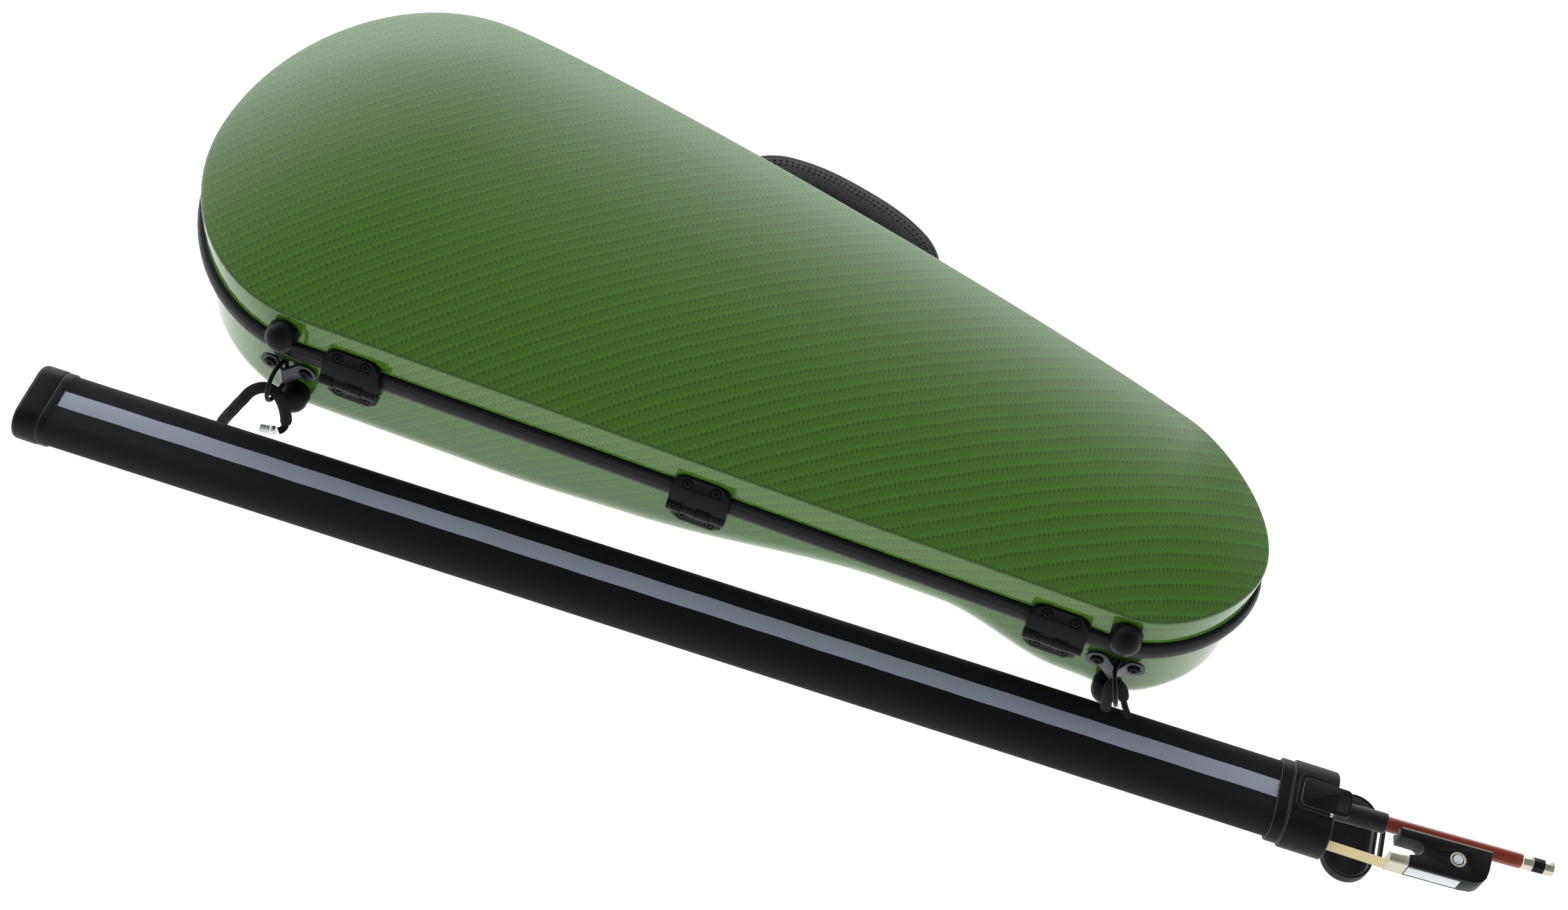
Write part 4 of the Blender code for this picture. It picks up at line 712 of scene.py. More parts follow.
class Skin:
    """Rings of points round the case, each with its distance over the surface from the edge."""

    def __init__(self):
        self.rings, self.lengths = [], []

    def offset(self, depth, height):
        ring = []
        for point, inward, _ in STATIONS:
            d = depth(point.x) if callable(depth) else depth
            q = point + inward * d
            z = height(q.x) if callable(height) else height
            ring.append((q.x, q.y, z))
        self._push(ring)

    def towards(self, base, share, height):
        ring = []
        for k, ((x, y, z), (_, _, i)) in enumerate(zip(base, STATIONS)):
            q = Vector((x, y)).lerp(SPINE[i], share)
            ring.append((q.x, q.y, height(q.x, share, k)))
        self._push(ring)

    def _push(self, ring):
        if self.rings:
            last = self.rings[-1]
            self.lengths.append([l + (Vector(a) - Vector(b)).length for l, a, b in zip(self.lengths[-1], ring, last)])
        else:
            self.lengths.append([0.0] * COUNT)
        self.rings.append(ring)

    def mesh(self, spine_height):
        verts = [p for ring in self.rings for p in ring]
        faces = []
        for r in range(len(self.rings) - 1):
            for i in range(COUNT):
                j = (i + 1) % COUNT
                faces.append([r * COUNT + i, r * COUNT + j, (r + 1) * COUNT + j, (r + 1) * COUNT + i])
        first = len(verts)
        verts += [(p.x, p.y, spine_height(p.x)) for p in SPINE]
        last = (len(self.rings) - 1) * COUNT
        for i in range(COUNT):
            j = (i + 1) % COUNT
            a, b = first + STATIONS[i][2], first + STATIONS[j][2]
            faces.append([last + i, last + j, b, a] if a != b else [last + i, last + j, a])
        return verts, faces

    def cloth(self, edge_ring, drop=None, split=0):
        """UVs in metres: plan position inside the edge, unrolled distance beyond it. With drop, the edge lies that far
        above the first ring, and the rings before split are unrolled from it."""
        out = []
        for r, ring in enumerate(self.rings):
            for i, (x, y, z) in enumerate(ring):
                if drop is not None and r < split:
                    ex, ey, _ = self.rings[0][i]
                    over = self.lengths[r][i] + drop
                    inward = STATIONS[i][1]
                    out.append(((ex - inward.x * over) / 1000, (ey - inward.y * over) / 1000))
                elif r >= edge_ring:
                    out.append((x / 1000, y / 1000))
                else:
                    ex, ey, _ = self.rings[edge_ring][i]
                    over = self.lengths[edge_ring][i] - self.lengths[r][i]
                    inward = STATIONS[i][1]
                    out.append(((ex - inward.x * over) / 1000, (ey - inward.y * over) / 1000))
        return out


def hollow(name, outer, outer_spine, inner, inner_spine, mat, body, replaces, edge_ring, drop=None, split=0):
    va, fa = outer.mesh(outer_spine)
    vb, fb = inner.mesh(inner_spine)
    off = len(va)
    faces = fa + [[off + v for v in face][::-1] for face in fb]
    faces += [[(i + 1) % COUNT, i, off + i, off + (i + 1) % COUNT] for i in range(COUNT)]
    uv = outer.cloth(edge_ring, drop, split) + [(p.x / 1000, p.y / 1000) for p in SPINE]
    uv += [(x / 1000, y / 1000) for x, y, z in vb]
    return add(name, (va + vb, faces, uv), mat, body, replaces)


# lid: wall, fillet that meets the dome at the dome's own slope, dome
POWER = 2.2


def lid_skin(gap, fine):
    skin = Skin()
    skin.offset(gap, LID_RIM)
    skin.offset(gap, 86.0)
    slopes = []
    for (point, inward, k) in STATIONS:
        reach = (SPINE[k] - point).length - LID_FILLET
        slopes.append(math.atan(POWER * crown(point.x) / reach))
    radius = max(LID_FILLET - gap * 0.7, 1.0)
    steps = 8 if fine else 4
    centre = LID_EDGE - gap - radius
    for i in range(steps + 1):
        ring = []
        for (point, inward, _), slope in zip(STATIONS, slopes):
            t = (math.pi / 2 - slope) * i / steps
            q = point + inward * (gap + radius * (1 - math.cos(t)))
            ring.append((q.x, q.y, centre + radius * math.sin(t)))
        skin._push(ring)
    base = skin.rings[-1]
    shares = [0.03, 0.07, 0.12, 0.18, 0.25, 0.33, 0.42, 0.52, 0.63, 0.74, 0.84, 0.93] if fine else [0.2, 0.5, 0.8]
    for s in shares:
        skin.towards(base, s, lambda x, share, k: base[k][2] + (LID_EDGE - gap + crown(x) - base[k][2]) * (1 - (1 - share) ** POWER))
    return skin


hollow("lid_surface", lid_skin(0.0, True), lambda x: LID_EDGE + crown(x), lid_skin(WALL, False), lambda x: LID_EDGE - WALL + crown(x),
       COMPOSITE, "lid", "lid_shell", 10)


def lower_skin(gap, steps):
    skin = Skin()
    skin.offset(gap, BASE_RIM)
    for i in range(steps + 1):
        t = math.pi / 2 * i / steps
        skin.offset(lambda x, t=t: gap + draft(x) + (corner(x) - gap) * (1 - math.cos(t)),
                    lambda x, t=t: bottom(x) + gap + (corner(x) - gap) * (1 - math.sin(t)))
    skin._push(list(skin.rings[-1]))
    base = skin.rings[-1]
    for s in (0.2, 0.45, 0.7, 0.9):
        skin.towards(base, s, lambda x, share, k: bottom(x) + gap)
    return skin


hollow("lower_surface", lower_skin(0.0, 16), bottom, lower_skin(WALL, 5), lambda x: bottom(x) + WALL,
       COMPOSITE, "case_base", "lower_shell", 0, 26.0, 18)

# ---------------------------------------------------------------- bands round the seam
def softened(profile, r, steps=3):
    """Closed outline with its corners rounded."""
    out, n = [], len(profile)
    for k in range(n):
        p, before, after = Vector(profile[k]), Vector(profile[k - 1]), Vector(profile[(k + 1) % n])
        s = p + (before - p).normalized() * min(r, (before - p).length * 0.45)
        e = p + (after - p).normalized() * min(r, (after - p).length * 0.45)
        for i in range(steps + 1):
            t = i / steps
            out.append(tuple(s * (1 - t) ** 2 + p * 2 * t * (1 - t) + e * t * t))
    return out


def loft(rings, caps=True, loop=False):
    """Skin over rings of points, with distances along and around as UVs."""
    m, verts, uv, far = len(rings[0]), [], [], 0.0
    for i, ring in enumerate(rings):
        if i:
            far += (Vector(ring[0]) - Vector(rings[i - 1][0])).length
        around = 0.0
        for k, p in enumerate(ring):
            if k:
                around += (Vector(p) - Vector(ring[k - 1])).length
            verts.append(p)
            uv.append((far / 1000, around / 1000))
    faces, n = [], len(rings)
    for i in range(n if loop else n - 1):
        j = (i + 1) % n
        for k in range(m):
            l = (k + 1) % m
            faces.append([i * m + k, i * m + l, j * m + l, j * m + k])
    if caps and not loop:
        faces += [list(range(m))[::-1], [(n - 1) * m + k for k in range(m)]]
    return verts, faces, uv


def band(profile):
    rings = [[(point.x + inward.x * d, point.y + inward.y * d, z) for d, z in profile] for point, inward, _ in STATIONS]
    return loft(rings, loop=True)


def swap(node, data, mat=None, raw=True, sharp=35, see=True, name=None, smooth=True):
    """A fine piece that stands in for one CAD node, on the node's body and slot."""
    return add(name or node + "_fine", data, mat or by_slot[slot_of[node]], body_of[node], node,
               raw=raw, sharp=sharp, see=see, smooth=smooth)


def detail(name, data, mat, like, raw=True, sharp=35, see=True):
    """A small extra piece that goes with a CAD node."""
    return add(name, data, mat, body_of[like], (), raw=raw, sharp=sharp, see=see)


swap("rim_seal", band(softened([
    (-0.3, SEAL_LOW), (-2.4, 65.2), (-3.8, 69.0), (-3.8, 73.9), (-2.4, 77.7), (-0.6, SEAL_TOP),
    (5.4, SEAL_TOP), (5.4, 68.0), (3.3, 68.0), (3.3, BASE_RIM + 0.3), (-0.3, BASE_RIM + 0.3)], 1.3, 4)), RUBBER)
swap("lid_rim_trim", band(softened([(3.3, 79.3), (5.0, 79.3), (5.0, 90.0), (3.3, 90.0)], 0.6)), RUBBER)


# ---------------------------------------------------------------- linings
def dense(rings, steps):
    """More rings between the given ones, on smooth curves."""
    pts, out = [rings[0]] + rings + [rings[-1]], []
    for k in range(len(rings) - 1):
        for s in range(steps):
            t = s / steps
            out.append([tuple(0.5 * (2 * b + (c - a) * t + (2 * a - 5 * b + 4 * c - d) * t * t + (3 * b - a - 3 * c + d) * t ** 3)
                              for a, b, c, d in zip(p0, p1, p2, p3))
                        for p0, p1, p2, p3 in zip(pts[k], pts[k + 1], pts[k + 2], pts[k + 3])])
    return out + [rings[-1]]


def ring_at(depth, height):
    skin = Skin()
    skin.offset(depth, height)
    return skin.rings[0]


def ring_in(base, share, height):
    skin = Skin()
    skin.towards(base, share, height)
    return skin.rings[0]


def as_skin(rings):
    skin = Skin()
    for ring in rings:
        skin._push(ring)
    return skin


def puffed(rings, size, first, last):
    """Pad surface with the slight unevenness of foam under stretched cloth."""
    out = []
    for r, ring in enumerate(rings):
        share = 1.0 if first <= r < last else 0.0
        out.append([(x, y, z + share * size * math.sin(x * 0.055 + 1.3 * math.sin(y * 0.04)) * math.sin(y * 0.06 + 0.4)) for x, y, z in ring])
    return out


def recess_floor(x):
    return bottom(x) + 11


outer = [ring_at(WALL + 1.3, 66.0)]
for i in range(7):
    t = math.pi / 2 * i / 6
    outer.append(ring_at(lambda x, t=t: 4.3 + draft(x) + (corner(x) - 4.3) * (1 - math.cos(t)),
                         lambda x, t=t: bottom(x) + 4.3 + (corner(x) - 4.3) * (1 - math.sin(t))))
outer.append(ring_in(outer[-1], 0.5, lambda x, s, k: bottom(x) + 4.3))
inner = [ring_at(5.6, 67.2), ring_at(10.5, 67.5), ring_at(16, 67.3), ring_at(20, 65.0), ring_at(22.5, 59),
         ring_at(24.5, lambda x: recess_floor(x) + 20), ring_at(26.5, lambda x: recess_floor(x) + 8),
         ring_at(31, lambda x: recess_floor(x) + 2), ring_at(40, recess_floor)]
for s in (0.3, 0.6, 0.85):
    inner.append(ring_in(inner[8], s, lambda x, share, k: recess_floor(x) + 0.0))
inner = puffed(dense(inner, 3), 0.35, 20, 200)
hollow("lower_lining_fine", as_skin(outer), lambda x: bottom(x) + 4.3, as_skin(inner), lambda x: recess_floor(x),
       PLUSH, "case_base", "lower_lining", 0)

outer = [ring_at(5.4, 84.0), ring_at(5.8, 93.0), ring_at(9.5, 96.1)]
for s in (0.15, 0.35, 0.6, 0.85):
    outer.append(ring_in(outer[2], s, lambda x, share, k: 96.1 + crown(x) * (1 - (1 - share) ** 2.2)))
inner = [ring_at(6.4, 83.5), ring_at(8.6, 83.3), ring_at(11.0, 84.6), ring_at(14, 88)]
for s in (0.12, 0.3, 0.5, 0.7, 0.9):
    inner.append(ring_in(inner[3], s, lambda x, share, k: 88 + crown(x) * (1 - (1 - share) ** 2.2)))
inner = puffed(dense(inner, 3), 0.35, 9, 200)
hollow("lid_lining_fine", as_skin(outer), lambda x: 96.1 + crown(x), as_skin(inner), lambda x: 88 + crown(x),
       PLUSH, "lid", "lid_lining", 0)

WORLD = Frame((0, 0, 0), (1, 0, 0), (0, 1, 0), (0, 0, 1))
CRADLE_Y = 83.0
low = recess_floor(118) + 0.4
saddle = [(CRADLE_Y - 34, low), (CRADLE_Y - 34, 62), (CRADLE_Y - 19, 62)]
saddle += [(CRADLE_Y - 17 * math.cos(math.pi * i / 18), 61 - 19 * math.sin(math.pi * i / 18)) for i in range(19)]
saddle += [(CRADLE_Y + 19, 62), (CRADLE_Y + 34, 62), (CRADLE_Y + 34, low)]
saddle_rings = []
middle = Vector((CRADLE_Y, (62 + low) / 2))
for i in range(17):
    s = -1 + i / 8
    pull = 1.1 * max(0, (abs(s) - 0.7) / 0.3) ** 2
    outline = []
    for y, z in softened(saddle, 3.0, 4):
        d = Vector((y, z)) - middle
        outline.append((105 + 13 * s, y - d.x / 34 * pull, max(z - (pull if z > low + 3 else 0), low)))
    saddle_rings.append(outline)
swap("neck_cradle", loft(saddle_rings), PLUSH, sharp=70)

strap_rings = []
for i in range(37):
    t = math.pi * i / 36
    y, z = CRADLE_Y - 32 * math.cos(t), 64.2 + 7 * math.sin(t)
    strap_rings.append([(95.2, y, z), (95.0, y, z - 0.8), (95.2, y, z - 1.5), (105, y, z - 1.6), (114.8, y, z - 1.5), (115.0, y, z - 0.8), (114.8, y, z), (105, y, z + 0.05)])
swap("neck_strap", loft(strap_rings), WEBBING)

# ---------------------------------------------------------------- screws
CANON = Frame((CENTRE_X, CENTRE_Y, 0), (1, 0, 0), (0, 1, 0), (0, 0, 1))


def cross_screw(r, rise, arm, width, depth):
    """Head with a cross recess; it faces -b and sits on b = 0."""
    head = lathe(CANON, [(1.0, 0), (1.0, r * 0.97), (-rise * 0.25, r), (-rise * 0.7, r * 0.9), (-rise * 0.95, r * 0.66), (-rise, r * 0.3), (-rise, 0)], "b", 40)
    a = prism(CANON, [(-arm, -rise - 1), (arm, -rise - 1), (arm * 0.5, -rise + depth), (-arm * 0.5, -rise + depth)], -width / 2, width / 2, "c")
    b = prism(CANON, [(-rise - 1, -arm), (-rise - 1, arm), (-rise + depth, arm * 0.5), (-rise + depth, -arm * 0.5)], -width / 2, width / 2, "a")
    verts, faces = carve(head, cuts=[a, b])
    return [v * 1000 for v in verts], faces


def set_at(shape, frame_, a, c, face, turn=0.0):
    ct, st = math.cos(turn), math.sin(turn)
    return [frame_(a + v.x * ct - v.z * st, face + v.y, c + v.x * st + v.z * ct) for v in shape[0]], shape[1]


HINGE_SCREW = cross_screw(2.65, 0.9, 1.7, 0.7, 1.2)
BRACKET_SCREW = cross_screw(3.3, 1.9, 2.0, 0.8, 1.5)
SMALL_SCREW = cross_screw(1.9, 0.6, 1.2, 0.5, 0.8)

# ---------------------------------------------------------------- hinges
HINGE_Y, HINGE_Z = -8.0, 67.5
BASE_KNUCKLES = ((-16.5, -8.5), (0.2, 8.0))
for label, hx, turns in zip(("left", "middle", "right"), (-203.1, 0.0, 203.7), ((0.3, 1.0, -0.5, 0.1), (0.8, -0.2, 0.5, 1.2), (0.2, 0.7, 1.1, -0.4))):
    here = Frame((hx, 0, 0), (1, 0, 0), (0, 1, 0), (0, 0, 1))
    # one bent leaf: it lies on the lid's wall at the top and slopes out over the seal
    plate = prism(here, [(-0.4, 86.3), (-0.4, 81.0), (-4.6, 79.4), (-4.6, 72.2), (-5.2, 69.5), (-7.6, 69.0), (-9.8, 71.0), (-6.1, 80.5), (-1.6, 86.3)], -16.5, 16.5, "a")
    corners = prism(here, [(-18, 60), (18, 60), (18, 80.2), (16.5, 80.6), (15.4, 82.6), (12.6, 85.2), (9.3, 86.4), (-9.3, 86.4), (-12.6, 85.2), (-15.4, 82.6), (-16.5, 80.6), (-18, 80.2)], -14, 2, "b")
    knuckles = [rod(here, (HINGE_Y, HINGE_Z), 3.9, lo, hi, "a", 40) for lo, hi in ((-8.2, -0.1), (8.3, 16.5))]
    bore = rod(here, (HINGE_Y, HINGE_Z), 1.5, -20, 20, "a", 20)
    rooms = [rod(here, (HINGE_Y, HINGE_Z), 4.7, lo - 0.25, hi + 0.25, "a", 40) for lo, hi in BASE_KNUCKLES]
    slope = Frame((hx, -3.8, 83.45), (1, 0, 0), (0, 0.790, -0.613), (0, 0.613, 0.790))
    sinks = [lathe(slope, [(1.0, 0), (1.0, 2.75), (0.2, 2.95), (-1.4, 2.95), (-1.4, 0)], "b", 36, (s * 8.0, 0.0)) for s in (-1, 1)]
    leaf = carve(plate, unions=knuckles, keep=[corners], cuts=[bore] + rooms + sinks, bevel=0.35, segments=2, angle=24)
    heads = [metres(set_at(HINGE_SCREW, slope, s * 8.0, 0.0, 0.45, turns[k])) for k, s in enumerate((-1, 1))]
    swap("hinge_leaf_lid_" + label, together(leaf, *heads), BLACK, raw=False, sharp=28)
    plate = prism(here, [(-14.5, 62.0), (-14.5, 54.0), (-9.5, 50.0), (9.5, 50.0), (14.5, 54.0), (14.5, 62.0)], -6.0, -0.4, "b")
    parts = []
    for lo, hi in BASE_KNUCKLES:
        parts.append(prism(here, [(-4.9, 60.5), (-6.0, 60.5), (-10.6, 66.0), (-9.0, 67.5), (-5.2, 66.5)], lo, hi, "a"))
        parts.append(rod(here, (HINGE_Y, HINGE_Z), 4.25, lo, hi, "a", 40))
    sinks = [lathe(here, [(-5.0, 0), (-5.0, 2.75), (-5.8, 2.95), (-7.5, 2.95), (-7.5, 0)], "b", 36, (s * 8.0, 55.0)) for s in (-1, 1)]
    leaf = carve(plate, unions=parts, cuts=[bore] + sinks, bevel=0.35, segments=2, angle=28)
    heads = [metres(set_at(HINGE_SCREW, here, s * 8.0, 55.0, -5.3, turns[2 + k])) for k, s in enumerate((-1, 1))]
    swap("hinge_leaf_base_" + label, together(leaf, *heads), BLACK, raw=False, sharp=28)
    swap("hinge_pin_" + label, lathe(here, [(-16.1, 0), (-16.1, 0.8), (-15.8, 1.2), (15.6, 1.2), (15.9, 0.8), (15.9, 0)], "a", 24, (HINGE_Y, HINGE_Z)), GREY)


# ---------------------------------------------------------------- rubber feet
def foot(node, x, z, base, r):
    here = Frame((x, 0, z), (1, 0, 0), (0, 1, 0), (0, 0, 1))
    profile = [(base, 0), (base, r - 0.75), (-0.7, r - 0.55), (-1.0, r - 0.12), (-1.3, r), (-6.0, r)]
    profile += [(-6.0 - 8.4 * math.sin(math.pi / 2 * i / 16), r * math.cos(math.pi / 2 * i / 16)) for i in range(1, 16)]
    profile += [(-14.4, 0)]
    swap(node, lathe(here, profile, "b", 56), FOOT, sharp=50)


foot("lid_foot_left", -243.5, 87.6, -0.4, 8.8)
foot("lid_foot_right", 238.5, 87.6, -0.4, 8.8)
foot("base_foot_left", -239.5, 32.5, 0.9, 8.8)
foot("base_foot_right", 241.5, 35.2, 0.9, 8.2)


# ---------------------------------------------------------------- strap brackets and D-rings
def d_shape(count):
    out = []
    for i in range(count):
        t = 2 * math.pi * i / count
        c = math.cos(t)
        out.append((13.9 + 11.2 * (c if c > 0 else -abs(c) ** 0.4), 10.2 * math.sin(t)))
    return out


for label, bx, back, turn_deg, lean, swing, aside in (("left", -243.1, 0.0, 0.0, 0.0, 0.0, -1.4), ("right", 240.6, 0.9, 5.0, -0.3, 0.25, 0.0)):
    ct, st = math.cos(math.radians(turn_deg)), math.sin(math.radians(turn_deg))
    here = Frame((bx, back, 53.8), (ct, st, 0), (-st, ct, 0), (0, 0, 1))
    profile = [(-17.5, -1.8), (-7.0, -1.8), (-0.8, -8.7), (0.8, -8.7), (7.0, -1.8), (17.5, -1.8),
               (17.5, -0.4), (6.4, -0.4), (0.0, -7.0), (-6.4, -0.4), (-17.5, -0.4)]
    soft = []
    for k, (p, r) in enumerate(zip(profile, (0.1, 2.2, 1.0, 1.0, 2.2, 0.1, 0.1, 1.6, 0.9, 1.6, 0.1))):
        v, before, after = Vector(p), Vector(profile[k - 1]), Vector(profile[(k + 1) % len(profile)])
        s, e = v + (before - v).normalized() * min(r, (before - v).length * 0.45), v + (after - v).normalized() * min(r, (after - v).length * 0.45)
        steps = 4 if r > 0.5 else 1
        soft += [tuple(s * (1 - t / steps) ** 2 + v * 2 * (t / steps) * (1 - t / steps) + e * (t / steps) ** 2) for t in range(steps + 1)]
    ends = [(10.4 + 6.2 * math.cos(-math.pi / 2 + math.pi * i / 20), 6.2 * math.sin(-math.pi / 2 + math.pi * i / 20)) for i in range(21)]
    keeper = prism(here, ends + [(-x, z) for x, z in ends[::-1]], -12, 3, "b")
    holes = [rod(here, (s * 10.4, 0), 3.75, -4, 2, "b", 40) for s in (-1, 1)]
    swap("strap_bracket_" + label, carve(prism(here, soft, -6.2, 6.2, "c"), keep=[keeper], cuts=holes, bevel=0.28, segments=2, angle=35), GREY, raw=False, sharp=30)
    for k, (s, which) in enumerate(((-1, "a"), (1, "b"))):
        swap(f"bracket_screw_{label}_{which}", set_at(BRACKET_SCREW, here, s * 10.4, 0, -1.55, 0.4 + 0.9 * k), BLACK, sharp=28)
    pts = []
    for o, h in d_shape(88):
        far = min(max((o - 5) / 8, 0), 1)
        pts.append(Vector((bx + far * (lean * h + aside) + swing * (o - 3.0), back - o, 55.4 + h)))
    swap("d_ring_" + label, sweep(pts, 1.25, True, 18), BLACK, sharp=60)


# ---------------------------------------------------------------- latches and handle
def wall_frame(x):
    point, inward = hit(Vector((x, 60.0)), Vector((0.0, 1.0)))
    along = Vector((-inward.y, inward.x))
    if along.x < 0:
        along = -along
    return Frame((point.x, point.y, 0), (along.x, along.y, 0), (-inward.x, -inward.y, 0), (0, 0, 1))


def facing(frame_):
    """The same frame with b turned inwards, for heads that face away from the wall."""
    return Frame(frame_.o, -frame_.a, -frame_.b, frame_.c)


for label, x in (("left", -150.0), ("right", 172.0)):
    here = wall_frame(x)
    for part in ("latch_base_", "latch_lever_", "latch_bail_", "latch_strike_"):
        refine(part + label, GREY if part == "latch_bail_" else BLACK, 0.3, 2)
    back_frame = facing(here)
    detail("latch_rivets_" + label, together(*[set_at(SMALL_SCREW, back_frame, s * 8.8, c, -2.0, 0.4 * s + c) for s in (-1, 1) for c in (43.0, 60.2) if not (c > 50)]), BLACK, "latch_base_" + label)
    detail("strike_rivets_" + label, together(*[set_at(SMALL_SCREW, back_frame, s * 4.4, 90.0, -2.0, 0.7 * s) for s in (-1, 1)]), BLACK, "latch_strike_" + label)

hf = wall_frame(10.0)
ends = [wall_frame(hf(a, 0, 0).x) for a in (-92.0, 72.0)]
mid = (ends[0].o + ends[1].o) / 2
along = (ends[1].o - ends[0].o).normalized()
out = Vector((-along.y, along.x, 0))
handle_frame = Frame((mid.x, mid.y, 0), along, out, (0, 0, 1))
SPAN, PIN_B, HANDLE_Z = (ends[1].o - ends[0].o).length / 2, 8.0, 50.0


def arch(t):
    return SPAN * t, PIN_B + 37.0 * max(1 - abs(t) ** 2.6, 0) ** 0.85


def grip_at(t):
    """Centre, outward direction, half width and half thickness of the grip."""
    t = min(max(t, -0.998), 0.998)
    a, b = arch(t)
    (a2, b2), (a1, b1) = arch(min(t + 0.01, 0.999)), arch(max(t - 0.01, -0.999))
    d = Vector((a2 - a1, b2 - b1)).normalized()
    return Vector((a, b)), Vector((-d.y, d.x)), 4.2 + 7.8 * ramp((1 - abs(t)) / 0.45), 3.6 + 1.6 * ramp((1 - abs(t)) / 0.5)


def handle_point(t, x, y):
    """Point on the grip: x across in millimetres from its middle, y up."""
    c, n, w, h = grip_at(t)
    return handle_frame(c.x + n.x * x, c.y + n.y * x, HANDLE_Z + y)


rings = []
for i in range(101):
    t = -1 + 2 * i / 100
    t = math.copysign(1 - (1 - abs(t)) ** 1.35, t) * 0.998
    c, n, w, h = grip_at(t)
    ring = []
    for k in range(40):
        ang = 2 * math.pi * k / 40
        x, y = math.cos(ang), math.sin(ang)
        x, y = math.copysign(abs(x) ** 0.72, x), math.copysign(abs(y) ** 0.82, y)
        crease = 0.45 * math.exp(-((x * w - (w - 5.6)) / 0.7) ** 2) + 0.3 * math.exp(-((x * w - (w - 8.2)) / 0.5) ** 2)
        ring.append(handle_frame(c.x + n.x * (w * x - 0.5), c.y + n.y * (w * x - 0.5), HANDLE_Z + (h - crease - 0.35 * max(x, 0)) * y))
    rings.append(ring)
body = loft(rings)
lugs, holes = [], []
for s in (-1, 1):
    here = Frame(handle_frame(s * SPAN, 0, 0), along, out, (0, 0, 1))
    lugs.append(rod(here, (PIN_B, HANDLE_Z), 4.4, -5.6, 5.6, "a", 40))
    holes.append(rod(here, (PIN_B, HANDLE_Z), 2.2, -30, 30, "a", 28))
    holes += [rod(here, (PIN_B, HANDLE_Z), 5.2, min(k * 5.9, k * 9.6), max(k * 5.9, k * 9.6), "a", 36) for k in (-1, 1)]
grip = swap("handle_grip", carve((body[0], body[1]), unions=lugs, cuts=holes), LEATHER, raw=False, sharp=50)
rim_path, share = [], 0.86
for i in range(97):
    t = -share + 2 * share * i / 96
    c, n, w, h = grip_at(t)
    rim_path.append(handle_point(t, w - 2.7, 0))
rim = sweep(rim_path, lambda s, ang: 2.6 + 0.9 * ramp(min(s, 1 - s) / 0.12), False, 20)
detail("handle_rim", rim, GRIP, "handle_grip", sharp=60)
stitches = []
for line, inset in enumerate((5.2, 8.2)):
    for face in (-1, 1):
        for i in range(41):
            t = (-0.80 + 1.6 * i / 40)
            c, n, w, h = grip_at(t)
            x = w - inset - 0.5
            q = max(1 - abs(x / w) ** (2 / 0.72), 0) ** (0.82 / 2)
            y = face * (h * q - 0.30)
            a, b = handle_point(t - 0.0085, x, y), handle_point(t + 0.0085, x, y)
            mids = [a.lerp(b, k / 4) + handle_frame.c * (face * (0.28 * math.sin(math.pi * k / 4))) for k in range(5)]
            v, f, _ = sweep(mids, 0.3, False, 6)
            stitches.append((v, f))
detail("handle_stitching", together(*stitches), THREAD, "handle_grip", sharp=80)
for label, s in (("left", -1), ("right", 1)):
    refine("handle_bracket_" + label, BLACK, 0.35, 2)
    here = facing(Frame(handle_frame(s * SPAN, 0, 0), along, out, (0, 0, 1)))
    detail("handle_rivets_" + label, together(*[set_at(SMALL_SCREW, here, a, HANDLE_Z + c, -2.4, a + c) for a in (-8.4, 8.4) for c in (-5.8, 5.8)]), BLACK, "handle_bracket_" + label)

# ---------------------------------------------------------------- bow tube
mouth, closed = Vector((377.2, -25.8, 22.0)), Vector((-377.6, -54.1, 12.1))
u = (mouth - closed).normalized()
n = Vector((u.y, -u.x, 0)).normalized()
w = n.cross(u)
if w.z < 0:
    w = -w
TUBE, LENGTH = Frame(mouth, u, n, w), (mouth - closed).length
TUBE_R, TUBE_WALL, TUBE_FLAT, COLLAR_R = 10.75, 1.4, 23.5, 13.9


def oval(radius, count=22, flat=TUBE_FLAT):
    pts = []
    for side in (1, -1):
        for i in range(count + 1):
            t = -math.pi / 2 + math.pi * i / count
            pts.append((side * (flat / 2 + radius * math.cos(t)), side * radius * math.sin(t)))
    return pts


def oval_sleeve(profile, frame_=None):
    """Closed wall of oval section; profile is (a, radius), and it closes on itself."""
    frame_ = frame_ or TUBE
    return loft([[frame_(a, b, c) for b, c in oval(r)] for a, r in profile], loop=True)


L = LENGTH
swap("bow_tube", oval_sleeve([(-L + 14.5 + (L - 26.8) * i / 8, TUBE_R) for i in range(9)] + [(-12.3, TUBE_R - TUBE_WALL), (-L + 14.5, TUBE_R - TUBE_WALL)]), NYLON, see=False)
cap = oval_sleeve(softened([
    (-L + 20, TUBE_R + 0.3), (-L + 20, TUBE_R + 0.9), (-L + 15.4, TUBE_R + 0.9), (-L + 15.1, TUBE_R + 0.45), (-L + 14.6, TUBE_R + 0.45), (-L + 14.3, TUBE_R + 1.25),
    (-L + 2.5, TUBE_R + 1.25), (-L + 0.7, TUBE_R + 0.4), (-L, TUBE_R - 1.6), (-L, 0.6),
    (-L + 3, 0.6), (-L + 3, TUBE_R - TUBE_WALL), (-L + 14.1, TUBE_R - TUBE_WALL), (-L + 14.1, TUBE_R + 0.3)], 0.5, 2))
plug = prism(TUBE, rounded(-TUBE_FLAT / 2 - 3, TUBE_FLAT / 2 + 3, -3, 3, 1), -L + 0.2, -L + 2.8, "a")
swap("tube_end_cap", carve(cap[:2], unions=[plug]), PLASTIC, raw=False, see=False, sharp=32)

